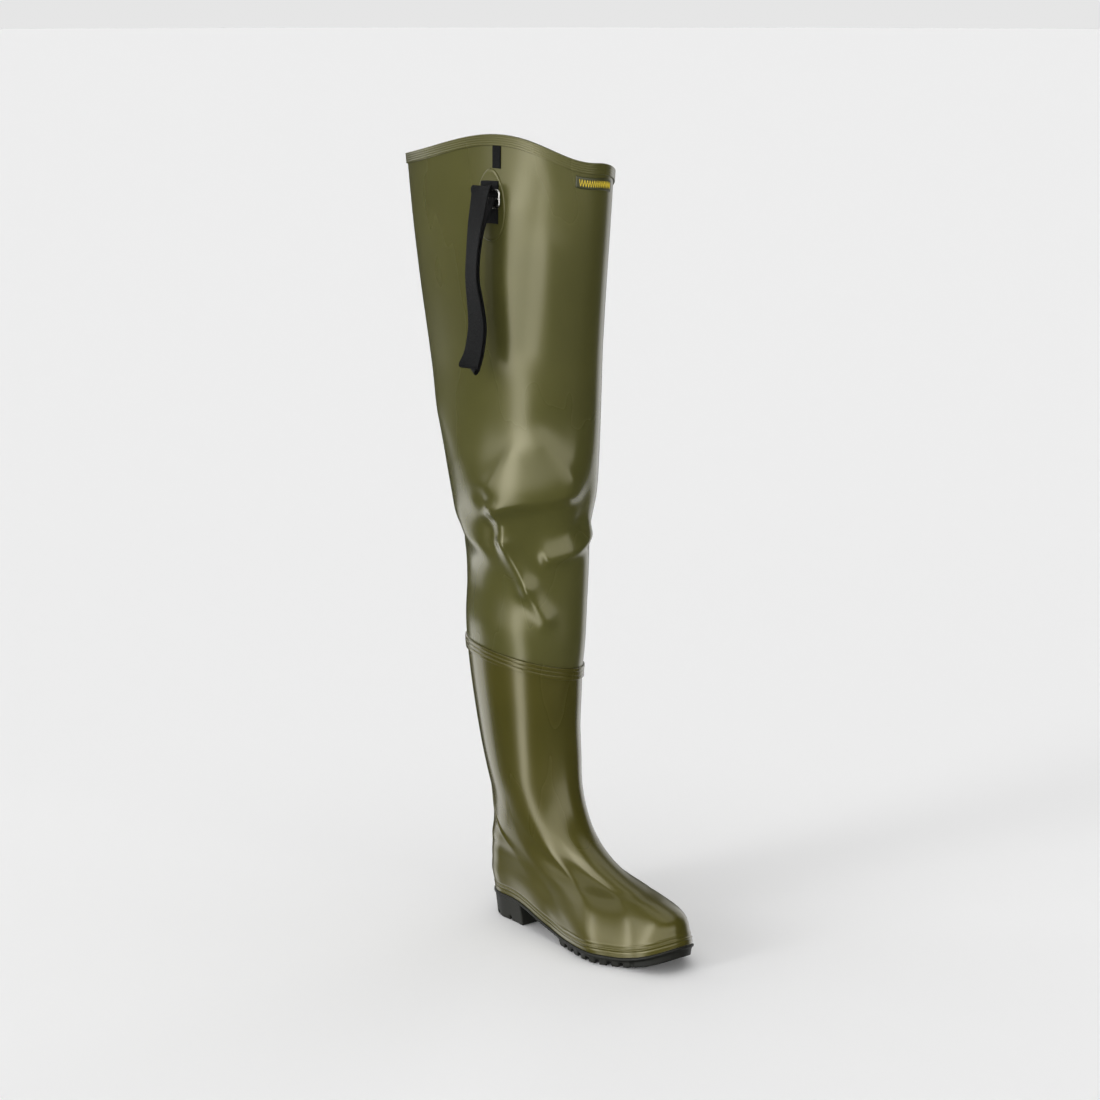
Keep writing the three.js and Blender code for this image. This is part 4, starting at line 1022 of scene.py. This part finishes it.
def build_label():
    """A plain plate, with a zigzag of thread as its only mark."""
    drop, height = BINDING_HEIGHT + 0.3 * LABEL_HEIGHT, 1.2 * LABEL_HEIGHT
    obj = plate("label_plate", LABEL_ANGLE, drop, LABEL_WIDTH, height, GAP, LABEL_THICKNESS, LABEL_PLATE, 0.8,
                rows=10, cols=40)
    ride(obj, "label")
    half = LABEL_WIDTH / 2 / radius_at(LABEL_ANGLE)
    out = normal_at(leg_point, np.array(COLLAR_PLACE - 0.3), np.array(LABEL_ANGLE))
    t = np.linspace(0, 1, STITCH_POINTS)
    lift = GAP + LABEL_THICKNESS + 0.28 * np.sin(math.pi * t) - 0.1
    radius = THREAD_RADIUS * np.sqrt(np.maximum(1 - np.linspace(-0.97, 0.97, STITCH_POINTS) ** 6, 0.05))
    points, faces = [], []
    for k in range(2 * STITCHES):
        a = -0.86 + 0.86 * (k + t) / STITCHES
        b = 0.5 + (0.3 if k % 2 else -0.3) * (2 * t - 1)
        place = COLLAR_PLACE - (drop + height * (1 - b)) / PEAK_ROW
        line = leg_skin(place, LABEL_ANGLE + a * half, lift)
        faces += grid_faces(STITCH_POINTS, STITCH_SIDES, k * STITCH_POINTS * STITCH_SIDES, caps=True)
        points.append(tube_loops(line, radius, out, STITCH_SIDES).reshape(-1, 3))
    thread = turn_out(make_object("label_stitches", np.concatenate(points), faces, None, [THREAD]))
    return ride(thread, None)


def assign(node, material):
    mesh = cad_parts[node].data
    mesh.materials.clear()
    mesh.materials.append(material)


build_foot()
build_leg()
build_band()
build_binding()
build_sole()
build_patch()
TUCK = 1.5  # how far the tab reaches up behind the binding's edge
ride(plate("tab_webbing", TAB_ANGLE, TAB_DROP - TUCK, TAB_WIDTH, TAB_HEIGHT + TUCK, GAP, TAB_THICKNESS,
           TAB_CLOTH, 0.6), "hanger_tab")
ride(plate("anchor_webbing", FITTING_ANGLE, ANCHOR_DROP, STRAP_WIDTH, ANCHOR_HEIGHT, ON_PATCH, ANCHOR_THICKNESS,
           TAB_CLOTH, 0.7), "strap_anchor")
build_strap()
build_buckle()
build_label()
assign("insole", LINING)


# Studio
LOOK = Vector((-0.769, 0.639, 0)).normalized()
SIDE = Vector((0.639, 0.769, 0)).normalized()


def studio_room():
    """Pale floor, and far behind it a plain wall of the same tone that throws no light."""
    count = 64
    turn = np.linspace(0, TAU, count, endpoint=False)
    ring = lambda r, z: [(r * math.cos(t), r * math.sin(t), z) for t in turn]
    floor, wall = ring(40, -0.0003), ring(39, -0.4) + ring(39, 30)
    for name, points in (("studio_floor", floor), ("studio_wall", wall)):
        faces = [tuple(range(count))] if points is floor else grid_faces(2, count)
        mesh = bpy.data.meshes.new(name)
        mesh.from_pydata(points, [], faces)
        obj = bpy.data.objects.new(name, mesh)
        bpy.context.scene.collection.objects.link(obj)
        s = Shader(name)
        s.set(Base_Color=(0.9, 0.9, 0.9, 1), Roughness=0.9, Specular_IOR_Level=0)
        if points is wall:
            s.set(Base_Color=(0, 0, 0, 1), Emission_Color=(1, 1, 1, 1), Emission_Strength=0.79)
            obj.visible_diffuse = False
            obj.visible_shadow = False
        obj.visible_glossy = False
        mesh.materials.append(s.material)


def studio_light():
    """Soft boxes and dark gaps between them, all round the boot, by direction from the camera's side."""
    world = bpy.data.worlds.new("studio_world")
    bpy.context.scene.world = world
    world.use_nodes = True
    sky = Nodes(world.node_tree)
    sky.tree.nodes.clear()
    direction = sky.coordinates("Generated")

    def part(axis):
        made = sky.node("VectorMath", operation="DOT_PRODUCT")
        sky.link(direction, made.inputs[0])
        made.inputs[1].default_value = axis
        return made.outputs["Value"]

    azimuth = sky.math("MULTIPLY", sky.math("ARCTAN2", part(SIDE), part(-LOOK)), 180 / math.pi)
    height = sky.math("MULTIPLY", sky.math("ARCSINE", part(Vector((0, 0, 1)))), 180 / math.pi)

    def step(value, low, high):
        return sky.range(value, low, high, 0, 1)

    total = sky.math("MULTIPLY", step(height, *TOP_HEIGHTS), TOP_POWER)
    total = sky.math("ADD", total, DARK_POWER)
    for azimuths, heights, soft, power in SOFT_BOXES:
        glow = sky.math("MULTIPLY", step(azimuth, azimuths[0] - soft, azimuths[0]), power)
        glow = sky.math("MULTIPLY", glow, step(azimuth, azimuths[1] + soft, azimuths[1]))
        glow = sky.math("MULTIPLY", glow, step(height, heights[0] - soft, heights[0]))
        glow = sky.math("MULTIPLY", glow, step(height, heights[1] + soft, heights[1]))
        total = sky.math("ADD", total, glow)
    background = sky.node("Background")
    sky.link(total, background.inputs["Strength"])
    sky.link(background.outputs["Background"], sky.node("OutputWorld").inputs["Surface"])


# The light grows between the two top heights. A soft box has azimuths from the camera's side (plus: the
# picture's right), heights and softness in degrees, and a power.
TOP_HEIGHTS, TOP_POWER, DARK_POWER = (46, 62), 1.7, 0.04
SOFT_BOXES = (
    ((-59, -52), (-34, 30), 8, 7.5),
    ((-200, -98), (6, 30), 8, 2.4),
    ((-140, -116), (-40, -17), 5, 2.6),
    ((-80, 50), (-4, 22), 7, 3.2),
    ((136, 160), (-50, 30), 10, 1.6),
)
studio_room()
studio_light()

# Camera
# Sizes and the point aimed at are in the picture's pixels. The zoom fills the frame with the one boot.
PHOTO, FOCAL, AIM, ZOOM = 1100, 2432, (505, 570), 1.12
CAMERA = Vector((2.337, -1.837, 1.074))
PITCH = 0.207
forward = LOOK * math.cos(PITCH) - Vector((0, 0, math.sin(PITCH)))
up = SIDE.cross(forward).normalized()
aim = forward + SIDE * ((AIM[0] - PHOTO / 2) / FOCAL) - up * ((AIM[1] - PHOTO / 2) / FOCAL)
camera_data = bpy.data.cameras.new("camera")
camera_data.sensor_fit = "AUTO"
camera_data.sensor_width = 36
camera_data.lens = 36 * FOCAL / PHOTO * ZOOM
camera_data.clip_end = 60
camera = bpy.data.objects.new("camera", camera_data)
bpy.context.scene.collection.objects.link(camera)
camera.location = CAMERA
camera.rotation_euler = aim.to_track_quat("-Z", "Y").to_euler()
bpy.context.scene.camera = camera
bpy.context.scene.view_settings.view_transform = "Standard"
